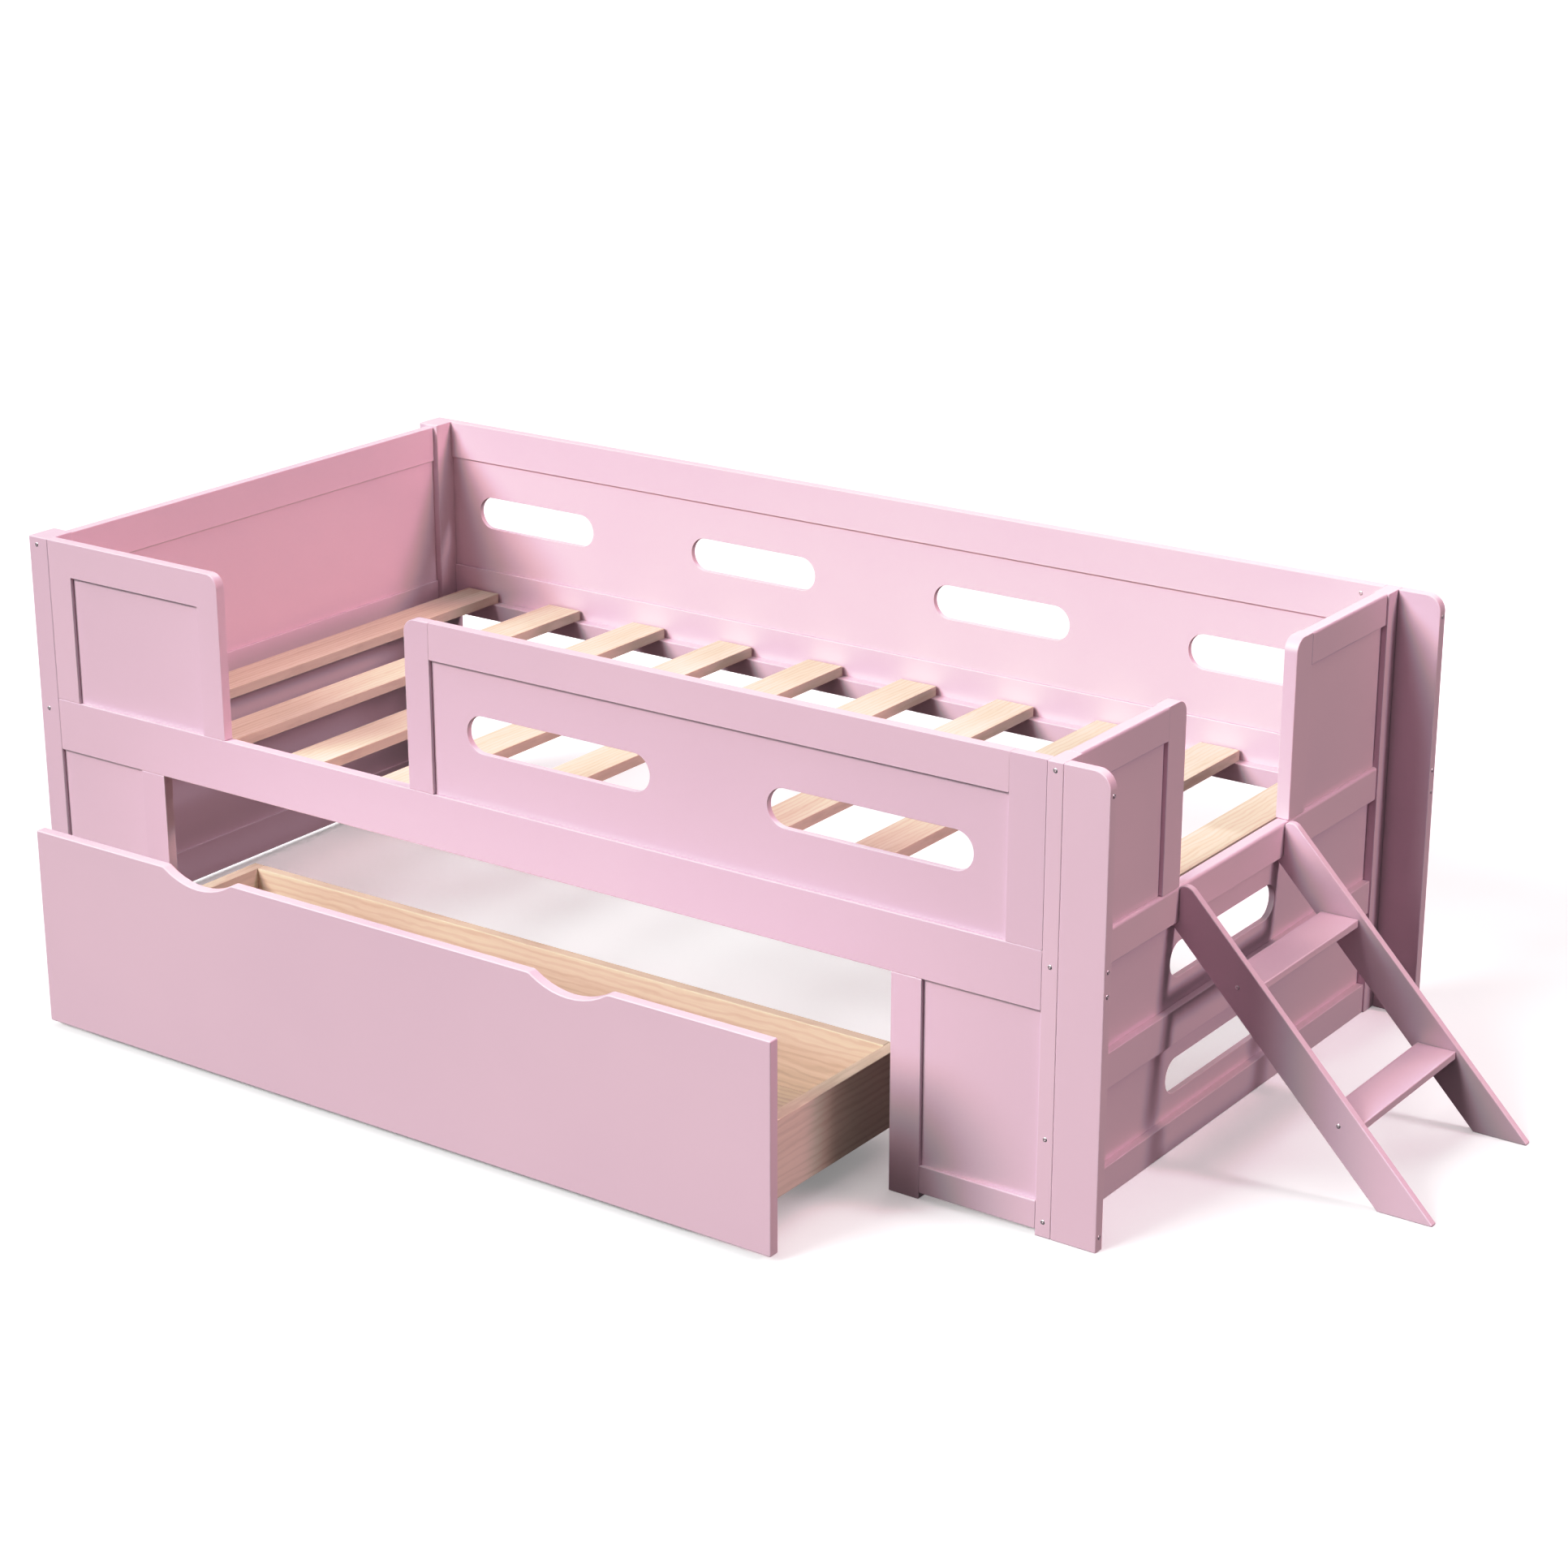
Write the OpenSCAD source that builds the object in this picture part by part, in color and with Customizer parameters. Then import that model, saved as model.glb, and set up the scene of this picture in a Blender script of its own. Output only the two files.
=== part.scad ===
// Low bed for small children: framed guards, a slatted base, a short ladder at one end
// and a wide rolling drawer under the front rail. Millimetres, +Z up.
// The rest position has the drawer pulled out.

/* [Bed frame] */
// Length of the bed box along X, over the left posts and the right end
bed_length = 1980.5; // [1900:0.5:2060]
// Width of the bed box along Y, over the front and back boards
bed_width = 1030; // [1000:1:1080]
// Height of the posts and guards above the floor
bed_height = 705; // [680:1:740]
// Thickness of the front, back and left boards
board = 18; // [16:0.5:20]
// Size of the right end's posts along X
end_board = 25.5; // [24:0.5:27]
// How far the right end's posts stand out past its rails
end_proud = 3; // [2:0.5:4]
// Thickness of the framed panels
panel = 10; // [8:0.5:11]
// Depth of a panel's face below the face of its frame
recess = 6; // [4:0.5:6.5]
// The same for the slotted panels under the right end's bed rail
end_recess = 11.5; // [10:0.5:12]
// The same for the panels of the right end's guards
guard_recess = 7; // [5:0.5:9]
// Size of a left post along X
post_x = 43; // [40:1:48]
// Size of a left post along Y
post_y = 57; // [50:1:60]
// Height of the drawer bay, to the underside of the front rail
bay_top = 341; // [338:1:350]
// Height of the front rail's top edge
rail_top = 430; // [424:1:440]
// Gap under the short front aprons and the left end
apron_lift = 10; // [8:1:14]
// Height of the top rails of the guards
top_rail = 59; // [52:1:64]
// Radius of the rounded guard corners
corner_r = 22; // [12:1:26]
// Rounding of the rails' bullnosed top edges
nose_r = 5; // [3:0.5:6]

/* [Front] */
// X of the short left guard's free end
left_guard_end = 425; // [410:1:440]
// X of the long right guard's free end
right_guard_start = 817; // [800:1:830]
// Width of the guards' stiles
stile = 49; // [44:1:54]
// Width of the right guard's stile beside the end
end_stile = 59; // [54:1:64]
// X of the bay's left side
bay_left = 281; // [276:1:286]
// X of the bay's right side
bay_right = 1709.5; // [1704:0.5:1715]
// Width of the stiles beside the bay
bay_stile = 51.5; // [46:0.5:56]
// Height of a long slot in the guards and the back
slot_h = 60; // [50:1:66]
// Height of the middle of those slots above the floor
slot_z = 541; // [536:1:546]
// Length of a slot in the right guard
guard_slot = 347; // [320:1:360]
// Length of a slot in the back
back_slot = 269; // [240:1:280]

/* [Right end] */
// Y of the ladder opening's front side
opening_front = 343; // [338:1:348]
// Y of the ladder opening's rear side
opening_rear = 680; // [676:1:686]
// Width of the stiles beside the opening
opening_stile = 50; // [46:1:54]
// Height of the bed rail's top edge in the opening
end_rail_top = 420; // [416:1:424]
// Underside of the bed rail
end_rail_low = 365; // [360:1:368]
// Width of the wings past the right end
wing = 73; // [66:1:80]
// Length of a slot in the right end
end_slot = 324; // [300:1:330]
// Height of a slot in the right end
end_slot_h = 56; // [48:1:60]

/* [Base] */
// Number of slats
slat_count = 10; // [8:1:11]
// Width of a slat
slat_w = 73; // [60:1:80]
// Thickness of a slat
slat_t = 18; // [16:1:20]
// Height of the ledges' top, where the slats rest
ledge_top = 372; // [370:1:376]
// Depth of a ledge along Y
ledge_y = 20; // [16:1:24]

/* [Ladder] */
// Thickness of the stringers and treads
ladder_t = 13; // [12:0.5:14]
// Slope of the stringers from the floor in degrees
ladder_slope = 46; // [45.8:0.1:46.2]
// Length of a foot along the floor
ladder_foot = 88; // [84:1:92]
// Depth of a tread along X
tread = 63; // [56:1:66]
// Height of the upper tread's top
upper_tread = 294; // [290:1:298]
// Height of the lower tread's top
lower_tread = 122; // [118:1:126]

/* [Drawer] */
// Distance the drawer stands pulled out at rest
pull_out = 285; // [240:1:300]
// Height of the drawer front
drawer_face_h = 324; // [316:1:326]
// Depth of the drawer box behind its front
drawer_depth = 400; // [360:1:420]
// Inset of the drawer box from each end of its front
drawer_inset = 60; // [55:1:70]
// Height of the drawer box
drawer_h = 121; // [110:1:140]
// Thickness of the drawer box's sides
drawer_side = 22; // [18:1:24]
// Thickness of the drawer box's bottom
drawer_floor = 8; // [6:1:10]
// Radius of a caster wheel
wheel_r = 17; // [16:0.5:17.5]
// Width of a caster wheel
wheel_w = 16; // [14:1:18]

/* [Fasteners] */
// Radius of a screw head
head_r = 3.4; // [3:0.1:4]
// Height of a screw head above the board
head_h = 0.9; // [0.6:0.1:1.2]
// Radius of a screw's shank
shank_r = 1.9; // [1.7:0.05:1.95]

/* [Hidden] */

// The row frame stands at the middle of the whole outline on the floor.
foot_x0 = 2402 - ladder_foot;
foot_x1 = 2402;
mid_x = foot_x1 / 2;
mid_y = (bed_width - pull_out) / 2;

paint = [0.90, 0.73, 0.79];
wood = [0.86, 0.74, 0.60];
metal = [0.75, 0.75, 0.76];
tyre_grey = [0.32, 0.32, 0.33];

end_x0 = bed_length - end_board;
end_x1 = bed_length;
end_face = end_x1 - end_proud;
inner_back = bed_width - board;
guard_rail_z = bed_height - top_rail;
left_x0 = 16;
left_x1 = left_x0 + board;
left_top = bed_height - 4.5;
stile_y = 50;
end_row_top = 228;
end_row_low = 172;
end_base_top = 49;
end_slot_y = 507;
fn_round = 48;
fn_screw = 24;

face_x0 = bay_left + 5;
face_x1 = bay_right - 5;
box_x0 = face_x0 + drawer_inset;
box_x1 = face_x1 - drawer_inset;
box_z0 = 42;
face_y0 = -pull_out;
box_y0 = face_y0 + board;
box_y1 = box_y0 + drawer_depth;
axle_r = 2.5;
caster_x = [box_x0 + 70, box_x1 - 70];
caster_y = [box_y0 + 45, box_y1 - 45];
frame_screw_z = [24, 151, 409, 692];
wing_screw_z = [22, 383, 419, 671];
post_screw_x = 18.5;
end_screw_x = end_x1 - end_board / 2;
rail_screw_x = end_x0 - 38;
rail_screw_z = bed_height - 17;
rail_screw_len = 14;
bore_r = shank_r + 0.05;
bore_len = 30;
tread_screw = [[foot_x1 - 325, upper_tread - ladder_t / 2],
               [foot_x1 - 155, lower_tread - ladder_t / 2]];

module place() {
 translate([-mid_x, -mid_y, 0]) children();
}

module box(a, b) {
 translate(a) cube([b[0] - a[0], b[1] - a[1], b[2] - a[2]]);
}

// A bore or rod along Y, from y0 to y1.
module along_y(x, y0, y1, z, r, fn) {
 translate([x, y0, z]) rotate([-90, 0, 0]) cylinder(r = r, h = y1 - y0, $fn = fn);
}

// A bore or rod along X, from x0 to x1.
module along_x(x0, x1, y, z, r, fn) {
 translate([x0, y, z]) rotate([0, 90, 0]) cylinder(r = r, h = x1 - x0, $fn = fn);
}

// A round-ended slot that runs along X, cut through in Y.
module slot_x(xc, y0, y1, z, len, h) {
 box([xc - len / 2 + h / 2, y0, z - h / 2], [xc + len / 2 - h / 2, y1, z + h / 2]);
 along_y(xc - len / 2 + h / 2, y0, y1, z, h / 2, 64);
 along_y(xc + len / 2 - h / 2, y0, y1, z, h / 2, 64);
}

// A round-ended slot that runs along Y, cut through in X.
module slot_y(x0, x1, yc, z, len, h) {
 box([x0, yc - len / 2 + h / 2, z - h / 2], [x1, yc + len / 2 - h / 2, z + h / 2]);
 along_x(x0, x1, yc - len / 2 + h / 2, z, h / 2, 64);
 along_x(x0, x1, yc + len / 2 - h / 2, z, h / 2, 64);
}

// What is taken off a board's upper corner to round it, the board facing Y.
module corner_cut_y(x, z, dir, y0, y1, r) {
 difference() {
  box([dir > 0 ? x - r : x - 1, y0 - 1, z - r], [dir > 0 ? x + 1 : x + r, y1 + 1, z + 1]);
  along_y(x - dir * r, y0 - 2, y1 + 2, z - r, r, fn_round);
 }
}

// The same for a board facing X.
module corner_cut_x(y, z, dir, x0, x1, r) {
 difference() {
  box([x0 - 1, dir > 0 ? y - r : y - 1, z - r], [x1 + 1, dir > 0 ? y + 1 : y + r, z + 1]);
  along_x(x0 - 2, x1 + 2, y - dir * r, z - r, r, fn_round);
 }
}

// A rail along Y with its two upper edges rounded.
module nosed_rail_y(x0, x1, y0, y1, z0, z1, r) {
 box([x0, y0, z0], [x1, y1, z1 - r]);
 box([x0 + r, y0, z1 - 2 * r], [x1 - r, y1, z1]);
 along_y(x0 + r, y0, y1, z1 - r, r, fn_round);
 along_y(x1 - r, y0, y1, z1 - r, r, fn_round);
}

module screw_y(x, y, z, dir, len) {
 // dir +1: the shank runs towards +Y from a head on the board's -Y face
 if (dir > 0) {
  along_y(x, y - head_h, y, z, head_r, fn_screw);
  along_y(x, y - 0.01, y + len, z, shank_r, fn_screw);
 } else {
  along_y(x, y, y + head_h, z, head_r, fn_screw);
  along_y(x, y - len, y + 0.01, z, shank_r, fn_screw);
 }
}

module screw_x(x, y, z, len) {
 along_x(x, x + head_h, y, z, head_r, fn_screw);
 along_x(x - len, x + 0.01, y, z, shank_r, fn_screw);
}

/* ---- left posts and left end ---- */

module front_left_post() {
 color(paint) place() difference() {
  box([0, 0, 0], [post_x, post_y, bed_height]);
  for (z = frame_screw_z)
   along_y(post_screw_x, -1, bore_len + 1, z, bore_r, fn_screw);
 }
}

module back_left_post() {
 color(paint) place() difference() {
  box([0, bed_width - post_y, 0], [post_x, bed_width, bed_height]);
  for (z = frame_screw_z)
   along_y(post_screw_x, bed_width - bore_len - 1, bed_width + 1, z, bore_r, fn_screw);
 }
}

module left_end_top_rail() {
 color(paint) place()
  box([left_x0, post_y, left_top - 64], [left_x1, bed_width - post_y, left_top]);
}

module left_end_upper_panel() {
 color(paint) place()
  box([left_x0 + 4, post_y, 405], [left_x0 + 4 + panel, bed_width - post_y, left_top - 64]);
}

module left_end_middle_rail() {
 color(paint) place()
  box([left_x0, post_y, bay_top], [left_x1, bed_width - post_y, 405]);
}

module left_end_lower_panel() {
 color(paint) place()
  box([left_x0 + 4, post_y, 73], [left_x0 + 4 + panel, bed_width - post_y, bay_top]);
}

module left_end_bottom_rail() {
 color(paint) place()
  box([left_x0, post_y, apron_lift], [left_x1, bed_width - post_y, 73]);
}

/* ---- front ---- */

module front_rail() {
 color(paint) place() box([post_x, 0, bay_top], [end_x0, board, rail_top]);
}

module left_guard_frame() {
 color(paint) place() difference() {
  box([post_x, 0, rail_top], [left_guard_end, board, bed_height]);
  box([post_x + stile + 1, -1, rail_top - 1],
      [left_guard_end - stile + 2, board + 1, guard_rail_z]);
  corner_cut_y(left_guard_end, bed_height, 1, 0, board, corner_r);
 }
}

module left_guard_panel() {
 color(paint) place()
  box([post_x + stile + 1, recess, rail_top],
      [left_guard_end - stile + 2, recess + panel, guard_rail_z]);
}

module right_guard_stile() {
 color(paint) place() difference() {
  box([right_guard_start, 0, rail_top], [right_guard_start + stile, board, bed_height]);
  corner_cut_y(right_guard_start, bed_height, -1, 0, board, corner_r);
 }
}

module right_guard_top_rail() {
 color(paint) place()
  box([right_guard_start + stile, 0, guard_rail_z], [end_x0 - end_stile, board, bed_height]);
}

module right_guard_end_stile() {
 color(paint) place()
  box([end_x0 - end_stile, 0, rail_top], [end_x0, board, bed_height]);
}

module right_guard_panel() {
 color(paint) place() difference() {
  box([right_guard_start + stile, recess, rail_top],
      [end_x0 - end_stile, recess + panel, guard_rail_z]);
  slot_x(1107, recess - 1, recess + panel + 1, slot_z + 2, guard_slot, slot_h);
  slot_x(1665, recess - 1, recess + panel + 1, slot_z + 2, guard_slot, slot_h);
 }
}

module left_apron_stile() {
 color(paint) place() box([bay_left - bay_stile, 0, 0], [bay_left, board, bay_top]);
}

module left_apron_rail() {
 color(paint) place()
  box([post_x, 0, apron_lift], [bay_left - bay_stile, board, 53]);
}

module left_apron_panel() {
 color(paint) place()
  box([post_x, recess, 53], [bay_left - bay_stile, recess + panel, bay_top]);
}

module right_apron_stile() {
 color(paint) place() box([bay_right, 0, 0], [bay_right + bay_stile, board, bay_top]);
}

module right_apron_rail() {
 color(paint) place() box([bay_right + bay_stile, 0, apron_lift], [end_x0, board, 53]);
}

module right_apron_panel() {
 color(paint) place()
  box([bay_right + bay_stile, recess, 53], [end_x0, recess + panel, bay_top]);
}

/* ---- back ---- */

module back_top_rail() {
 color(paint) place() difference() {
  box([post_x, inner_back, 638], [end_x0, bed_width, bed_height]);
  along_y(rail_screw_x, inner_back - 1, inner_back + rail_screw_len + 1, rail_screw_z,
          bore_r, fn_screw);
 }
}

module back_panel() {
 color(paint) place() difference() {
  box([post_x, inner_back + 4, rail_top], [end_x0, inner_back + 4 + panel, 638]);
  for (x = [-754, -259, 259, 754])
   slot_x(995 + x, inner_back, bed_width, slot_z, back_slot, slot_h);
 }
}

module back_bottom_rail() {
 color(paint) place()
  box([post_x, inner_back, bay_top], [end_x0, bed_width, rail_top]);
}

/* ---- right end ---- */

module end_front_stile() {
 color(paint) place() difference() {
  box([end_x0, 0, 0], [end_x1, stile_y, bed_height]);
  for (z = frame_screw_z)
   along_y(end_screw_x, -1, bore_len + 1, z, bore_r, fn_screw);
 }
}

module end_back_stile() {
 color(paint) place() difference() {
  box([end_x0, bed_width - stile_y, 0], [end_x1, bed_width, bed_height]);
  for (z = frame_screw_z)
   along_y(end_screw_x, bed_width - bore_len - 1, bed_width + 1, z, bore_r, fn_screw);
 }
}

module end_bed_rail() {
 color(paint) place()
  nosed_rail_y(end_x0, end_face, stile_y, bed_width - stile_y, end_rail_low, end_rail_top,
               nose_r);
}

module end_middle_rail() {
 color(paint) place()
  box([end_x0, stile_y, end_row_low], [end_face, bed_width - stile_y, end_row_top]);
}

module end_bottom_rail() {
 color(paint) place()
  box([end_x0, stile_y, 0], [end_face, bed_width - stile_y, end_base_top]);
}

module end_upper_panel() {
 color(paint) place() difference() {
  box([end_face - end_recess - panel, stile_y, end_row_top],
      [end_face - end_recess, bed_width - stile_y, end_rail_low]);
  slot_y(end_x0 - 4, end_x1, end_slot_y, (end_row_top + end_rail_low) / 2, end_slot, end_slot_h);
 }
}

module end_lower_panel() {
 color(paint) place() difference() {
  box([end_face - end_recess - panel, stile_y, end_base_top],
      [end_face - end_recess, bed_width - stile_y, end_row_low]);
  slot_y(end_x0 - 4, end_x1, end_slot_y, (end_base_top + end_row_low) / 2, end_slot, end_slot_h);
 }
}

module end_guard_front_rail() {
 color(paint) place()
  nosed_rail_y(end_x0, end_face, stile_y, opening_front - opening_stile,
               bed_height - 52, bed_height, nose_r);
}

module end_guard_front_panel() {
 color(paint) place()
  box([end_face - guard_recess - panel, stile_y, end_rail_top],
      [end_face - guard_recess, opening_front - opening_stile, bed_height - 52]);
}

module end_guard_front_stile() {
 color(paint) place() difference() {
  box([end_x0, opening_front - opening_stile, end_rail_top],
      [end_face, opening_front, bed_height]);
  corner_cut_x(opening_front, bed_height, 1, end_x0, end_face, corner_r);
 }
}

module end_guard_rear_rail() {
 color(paint) place()
  nosed_rail_y(end_x0, end_face, opening_rear + opening_stile, bed_width - stile_y,
               bed_height - 52, bed_height, nose_r);
}

module end_guard_rear_panel() {
 color(paint) place()
  box([end_face - guard_recess - panel, opening_rear + opening_stile, end_rail_top],
      [end_face - guard_recess, bed_width - stile_y, bed_height - 52]);
}

module end_guard_rear_stile() {
 color(paint) place() difference() {
  box([end_x0, opening_rear, end_rail_top],
      [end_face, opening_rear + opening_stile, bed_height]);
  corner_cut_x(opening_rear, bed_height, -1, end_x0, end_face, corner_r);
 }
}

module wing_board(y0) {
 difference() {
  box([end_x1, y0, 0], [end_x1 + wing, y0 + board, bed_height]);
  corner_cut_y(end_x1 + wing, bed_height, 1, y0, y0 + board, corner_r + 5);
  for (z = wing_screw_z)
   along_x(end_x1 + wing - bore_len - 1, end_x1 + wing + 1, y0 + board / 2, z, bore_r, fn_screw);
 }
}

module front_wing() {
 color(paint) place() wing_board(0);
}

module back_wing() {
 color(paint) place() wing_board(bed_width - board);
}

/* ---- base ---- */

module front_ledge() {
 color(paint) place()
  box([post_x, board, bay_top], [end_x0, board + ledge_y, ledge_top]);
}

module back_ledge() {
 color(paint) place()
  box([post_x, inner_back - ledge_y, bay_top], [end_x0, inner_back, ledge_top]);
}

module slats() {
 first = 78.5;
 last = end_x0 - 38 - slat_w;
 step = (last - first) / (slat_count - 1);
 color(wood) place()
  for (k = [0 : slat_count - 1])
   box([first + k * step, board + 4, ledge_top],
       [first + k * step + slat_w, inner_back - 4, ledge_top + slat_t]);
}

/* ---- ladder ---- */

ladder_tan = tan(ladder_slope);

function low_x(z) = foot_x0 - z / ladder_tan;
function high_x(z) = foot_x1 - z / ladder_tan;

// Side outline of a stringer: the head rests against the bed rail and hooks under it.
module stringer_outline() {
 hook_x = end_face - end_recess;
 head_z = end_rail_top + 2;
 r = 18;
 cx = high_x(head_z - r) - r / sin(ladder_slope);
 polygon(concat(
  [[foot_x0, 0], [foot_x1, 0]],
  [for (a = [90 - ladder_slope : 6 : 90])
   [cx + r * cos(a), head_z - r + r * sin(a)]],
  [[end_face + 8, head_z], [end_face + 2.5, head_z - 2.5], [end_face, head_z - 8],
   [end_face, end_rail_low], [hook_x, end_rail_low],
   [hook_x, (foot_x0 - hook_x) * ladder_tan]]));
}

module stringer(y0) {
 translate([0, y0 + ladder_t, 0]) rotate([90, 0, 0])
  linear_extrude(height = ladder_t) stringer_outline();
}

module ladder_front_stringer() {
 color(paint) place() difference() {
  stringer(opening_front);
  for (s = tread_screw)
   along_y(s[0], opening_front - 1, opening_front + ladder_t + 1, s[1], bore_r, fn_screw);
 }
}

module ladder_rear_stringer() {
 color(paint) place() difference() {
  stringer(opening_rear - ladder_t);
  for (s = tread_screw)
   along_y(s[0], opening_rear - ladder_t - 1, opening_rear + 1, s[1], bore_r, fn_screw);
 }
}

module tread_board(s) {
 y0 = opening_front + ladder_t;
 y1 = opening_rear - ladder_t;
 difference() {
  box([s[0] - tread / 2, y0, s[1] - ladder_t / 2], [s[0] + tread / 2, y1, s[1] + ladder_t / 2]);
  along_y(s[0], y0 - 1, y0 + 18, s[1], bore_r, fn_screw);
  along_y(s[0], y1 - 18, y1 + 1, s[1], bore_r, fn_screw);
 }
}

module ladder_upper_tread() {
 color(paint) place() tread_board(tread_screw[0]);
}

module ladder_lower_tread() {
 color(paint) place() tread_board(tread_screw[1]);
}

/* ---- drawer ---- */

grip_x = [635, 1355];
grip_r = 125;
grip_deep = 22;

// A shallow round hand cut-out in the drawer front's top edge.
module grip_cut(x) {
 z = apron_lift + drawer_face_h - grip_deep + grip_r;
 along_y(x, face_y0 - 1, face_y0 + board + 1, z, grip_r, 96);
}

module drawer_front() {
 color(paint) place() difference() {
  box([face_x0, face_y0, apron_lift], [face_x1, face_y0 + board, apron_lift + drawer_face_h]);
  for (x = grip_x) grip_cut(x);
 }
}

module side_board(x0) {
 box([x0, box_y0, box_z0], [x0 + drawer_side, box_y1, box_z0 + drawer_h]);
}

module drawer_left_side() {
 color(wood) place() difference() {
  side_board(box_x0);
  for (z = [75, 135])
   along_x(box_x0 - 1, box_x0 + drawer_side + 1, box_y1 - board / 2, z, bore_r, fn_screw);
 }
}

module drawer_right_side() {
 color(wood) place() difference() {
  side_board(box_x1 - drawer_side);
  for (z = [75, 135])
   along_x(box_x1 - drawer_side - 1, box_x1 + 1, box_y1 - board / 2, z, bore_r, fn_screw);
 }
}

module drawer_back() {
 color(wood) place() difference() {
  box([box_x0 + drawer_side, box_y1 - board, box_z0],
      [box_x1 - drawer_side, box_y1, box_z0 + drawer_h]);
  for (z = [75, 135]) {
   along_x(box_x0 + drawer_side - 1, box_x0 + drawer_side + 20, box_y1 - board / 2, z,
           bore_r, fn_screw);
   along_x(box_x1 - drawer_side - 20, box_x1 - drawer_side + 1, box_y1 - board / 2, z,
           bore_r, fn_screw);
  }
 }
}

module drawer_bottom() {
 color(wood) place()
  box([box_x0 + drawer_side, box_y0, box_z0],
      [box_x1 - drawer_side, box_y1 - board, box_z0 + drawer_floor]);
}

module bracket(x, y) {
 inner = wheel_w / 2 + 1;
 difference() {
  union() {
   box([x - 24, y - 20, box_z0 - 2], [x + 24, y + 20, box_z0]);
   box([x - inner - 2, y - 12, 9], [x - inner, y + 12, box_z0 - 1]);
   box([x + inner, y - 12, 9], [x + inner + 2, y + 12, box_z0 - 1]);
  }
  along_x(x - 20, x + 20, y, wheel_r, axle_r + 0.05, fn_round);
 }
}

module caster_brackets() {
 color(metal) place()
  for (x = caster_x)
   for (y = caster_y) bracket(x, y);
}

module caster_axles() {
 reach = wheel_w / 2 + 4;
 color(metal) place()
  for (x = caster_x) for (y = caster_y)
   along_x(x - reach, x + reach, y, wheel_r, axle_r, fn_round);
}

module wheel(x, y) {
 color(tyre_grey) place() translate([x - wheel_w / 2, y, wheel_r]) rotate([0, 90, 0])
  difference() {
   cylinder(r = wheel_r, h = wheel_w, $fn = 64);
   translate([0, 0, -1]) cylinder(r = axle_r + 0.05, h = wheel_w + 2, $fn = fn_round);
  }
}

module wheel_front_left() {
 wheel(caster_x[0], caster_y[0]);
}

module wheel_front_right() {
 wheel(caster_x[1], caster_y[0]);
}

module wheel_back_left() {
 wheel(caster_x[0], caster_y[1]);
}

module wheel_back_right() {
 wheel(caster_x[1], caster_y[1]);
}

/* ---- screws ---- */

module frame_screws() {
 color(metal) place() {
  for (z = frame_screw_z) {
   screw_y(post_screw_x, 0, z, 1, bore_len);
   screw_y(end_screw_x, 0, z, 1, bore_len);
   screw_y(post_screw_x, bed_width, z, -1, bore_len);
   screw_y(end_screw_x, bed_width, z, -1, bore_len);
  }
  for (z = wing_screw_z) {
   screw_x(end_x1 + wing, board / 2, z, bore_len);
   screw_x(end_x1 + wing, bed_width - board / 2, z, bore_len);
  }
  screw_y(rail_screw_x, inner_back, rail_screw_z, 1, rail_screw_len);
 }
}

module ladder_screws() {
 color(metal) place()
  for (s = tread_screw) {
   screw_y(s[0], opening_front, s[1], 1, 30);
   screw_y(s[0], opening_rear, s[1], -1, 30);
  }
}

module drawer_screws() {
 color(metal) place()
  for (z = [75, 135]) {
   screw_x(box_x1, box_y1 - board / 2, z, 40);
   along_x(box_x0 - head_h, box_x0, box_y1 - board / 2, z, head_r, fn_screw);
   along_x(box_x0 - 0.01, box_x0 + 40, box_y1 - board / 2, z, shank_r, fn_screw);
  }
}

front_left_post();
back_left_post();
left_end_top_rail();
left_end_upper_panel();
left_end_middle_rail();
left_end_lower_panel();
left_end_bottom_rail();
front_rail();
left_guard_frame();
left_guard_panel();
right_guard_stile();
right_guard_top_rail();
right_guard_end_stile();
right_guard_panel();
left_apron_stile();
left_apron_panel();
left_apron_rail();
right_apron_stile();
right_apron_panel();
right_apron_rail();
back_top_rail();
back_panel();
back_bottom_rail();
end_front_stile();
end_back_stile();
end_bed_rail();
end_middle_rail();
end_bottom_rail();
end_upper_panel();
end_lower_panel();
end_guard_front_rail();
end_guard_front_panel();
end_guard_front_stile();
end_guard_rear_rail();
end_guard_rear_panel();
end_guard_rear_stile();
front_wing();
back_wing();
front_ledge();
back_ledge();
slats();
ladder_front_stringer();
ladder_rear_stringer();
ladder_upper_tread();
ladder_lower_tread();
drawer_front();
drawer_left_side();
drawer_right_side();
drawer_back();
drawer_bottom();
caster_brackets();
caster_axles();
wheel_front_left();
wheel_front_right();
wheel_back_left();
wheel_back_right();
frame_screws();
ladder_screws();
drawer_screws();
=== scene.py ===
"""A low painted bed for small children: framed guards, slats, a short ladder and a drawer."""

import logging
import math
import random
from dataclasses import dataclass, field
from enum import Enum
from typing import Callable, Sequence

import bpy
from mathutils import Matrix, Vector
from mathutils.geometry import tessellate_polygon


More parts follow.
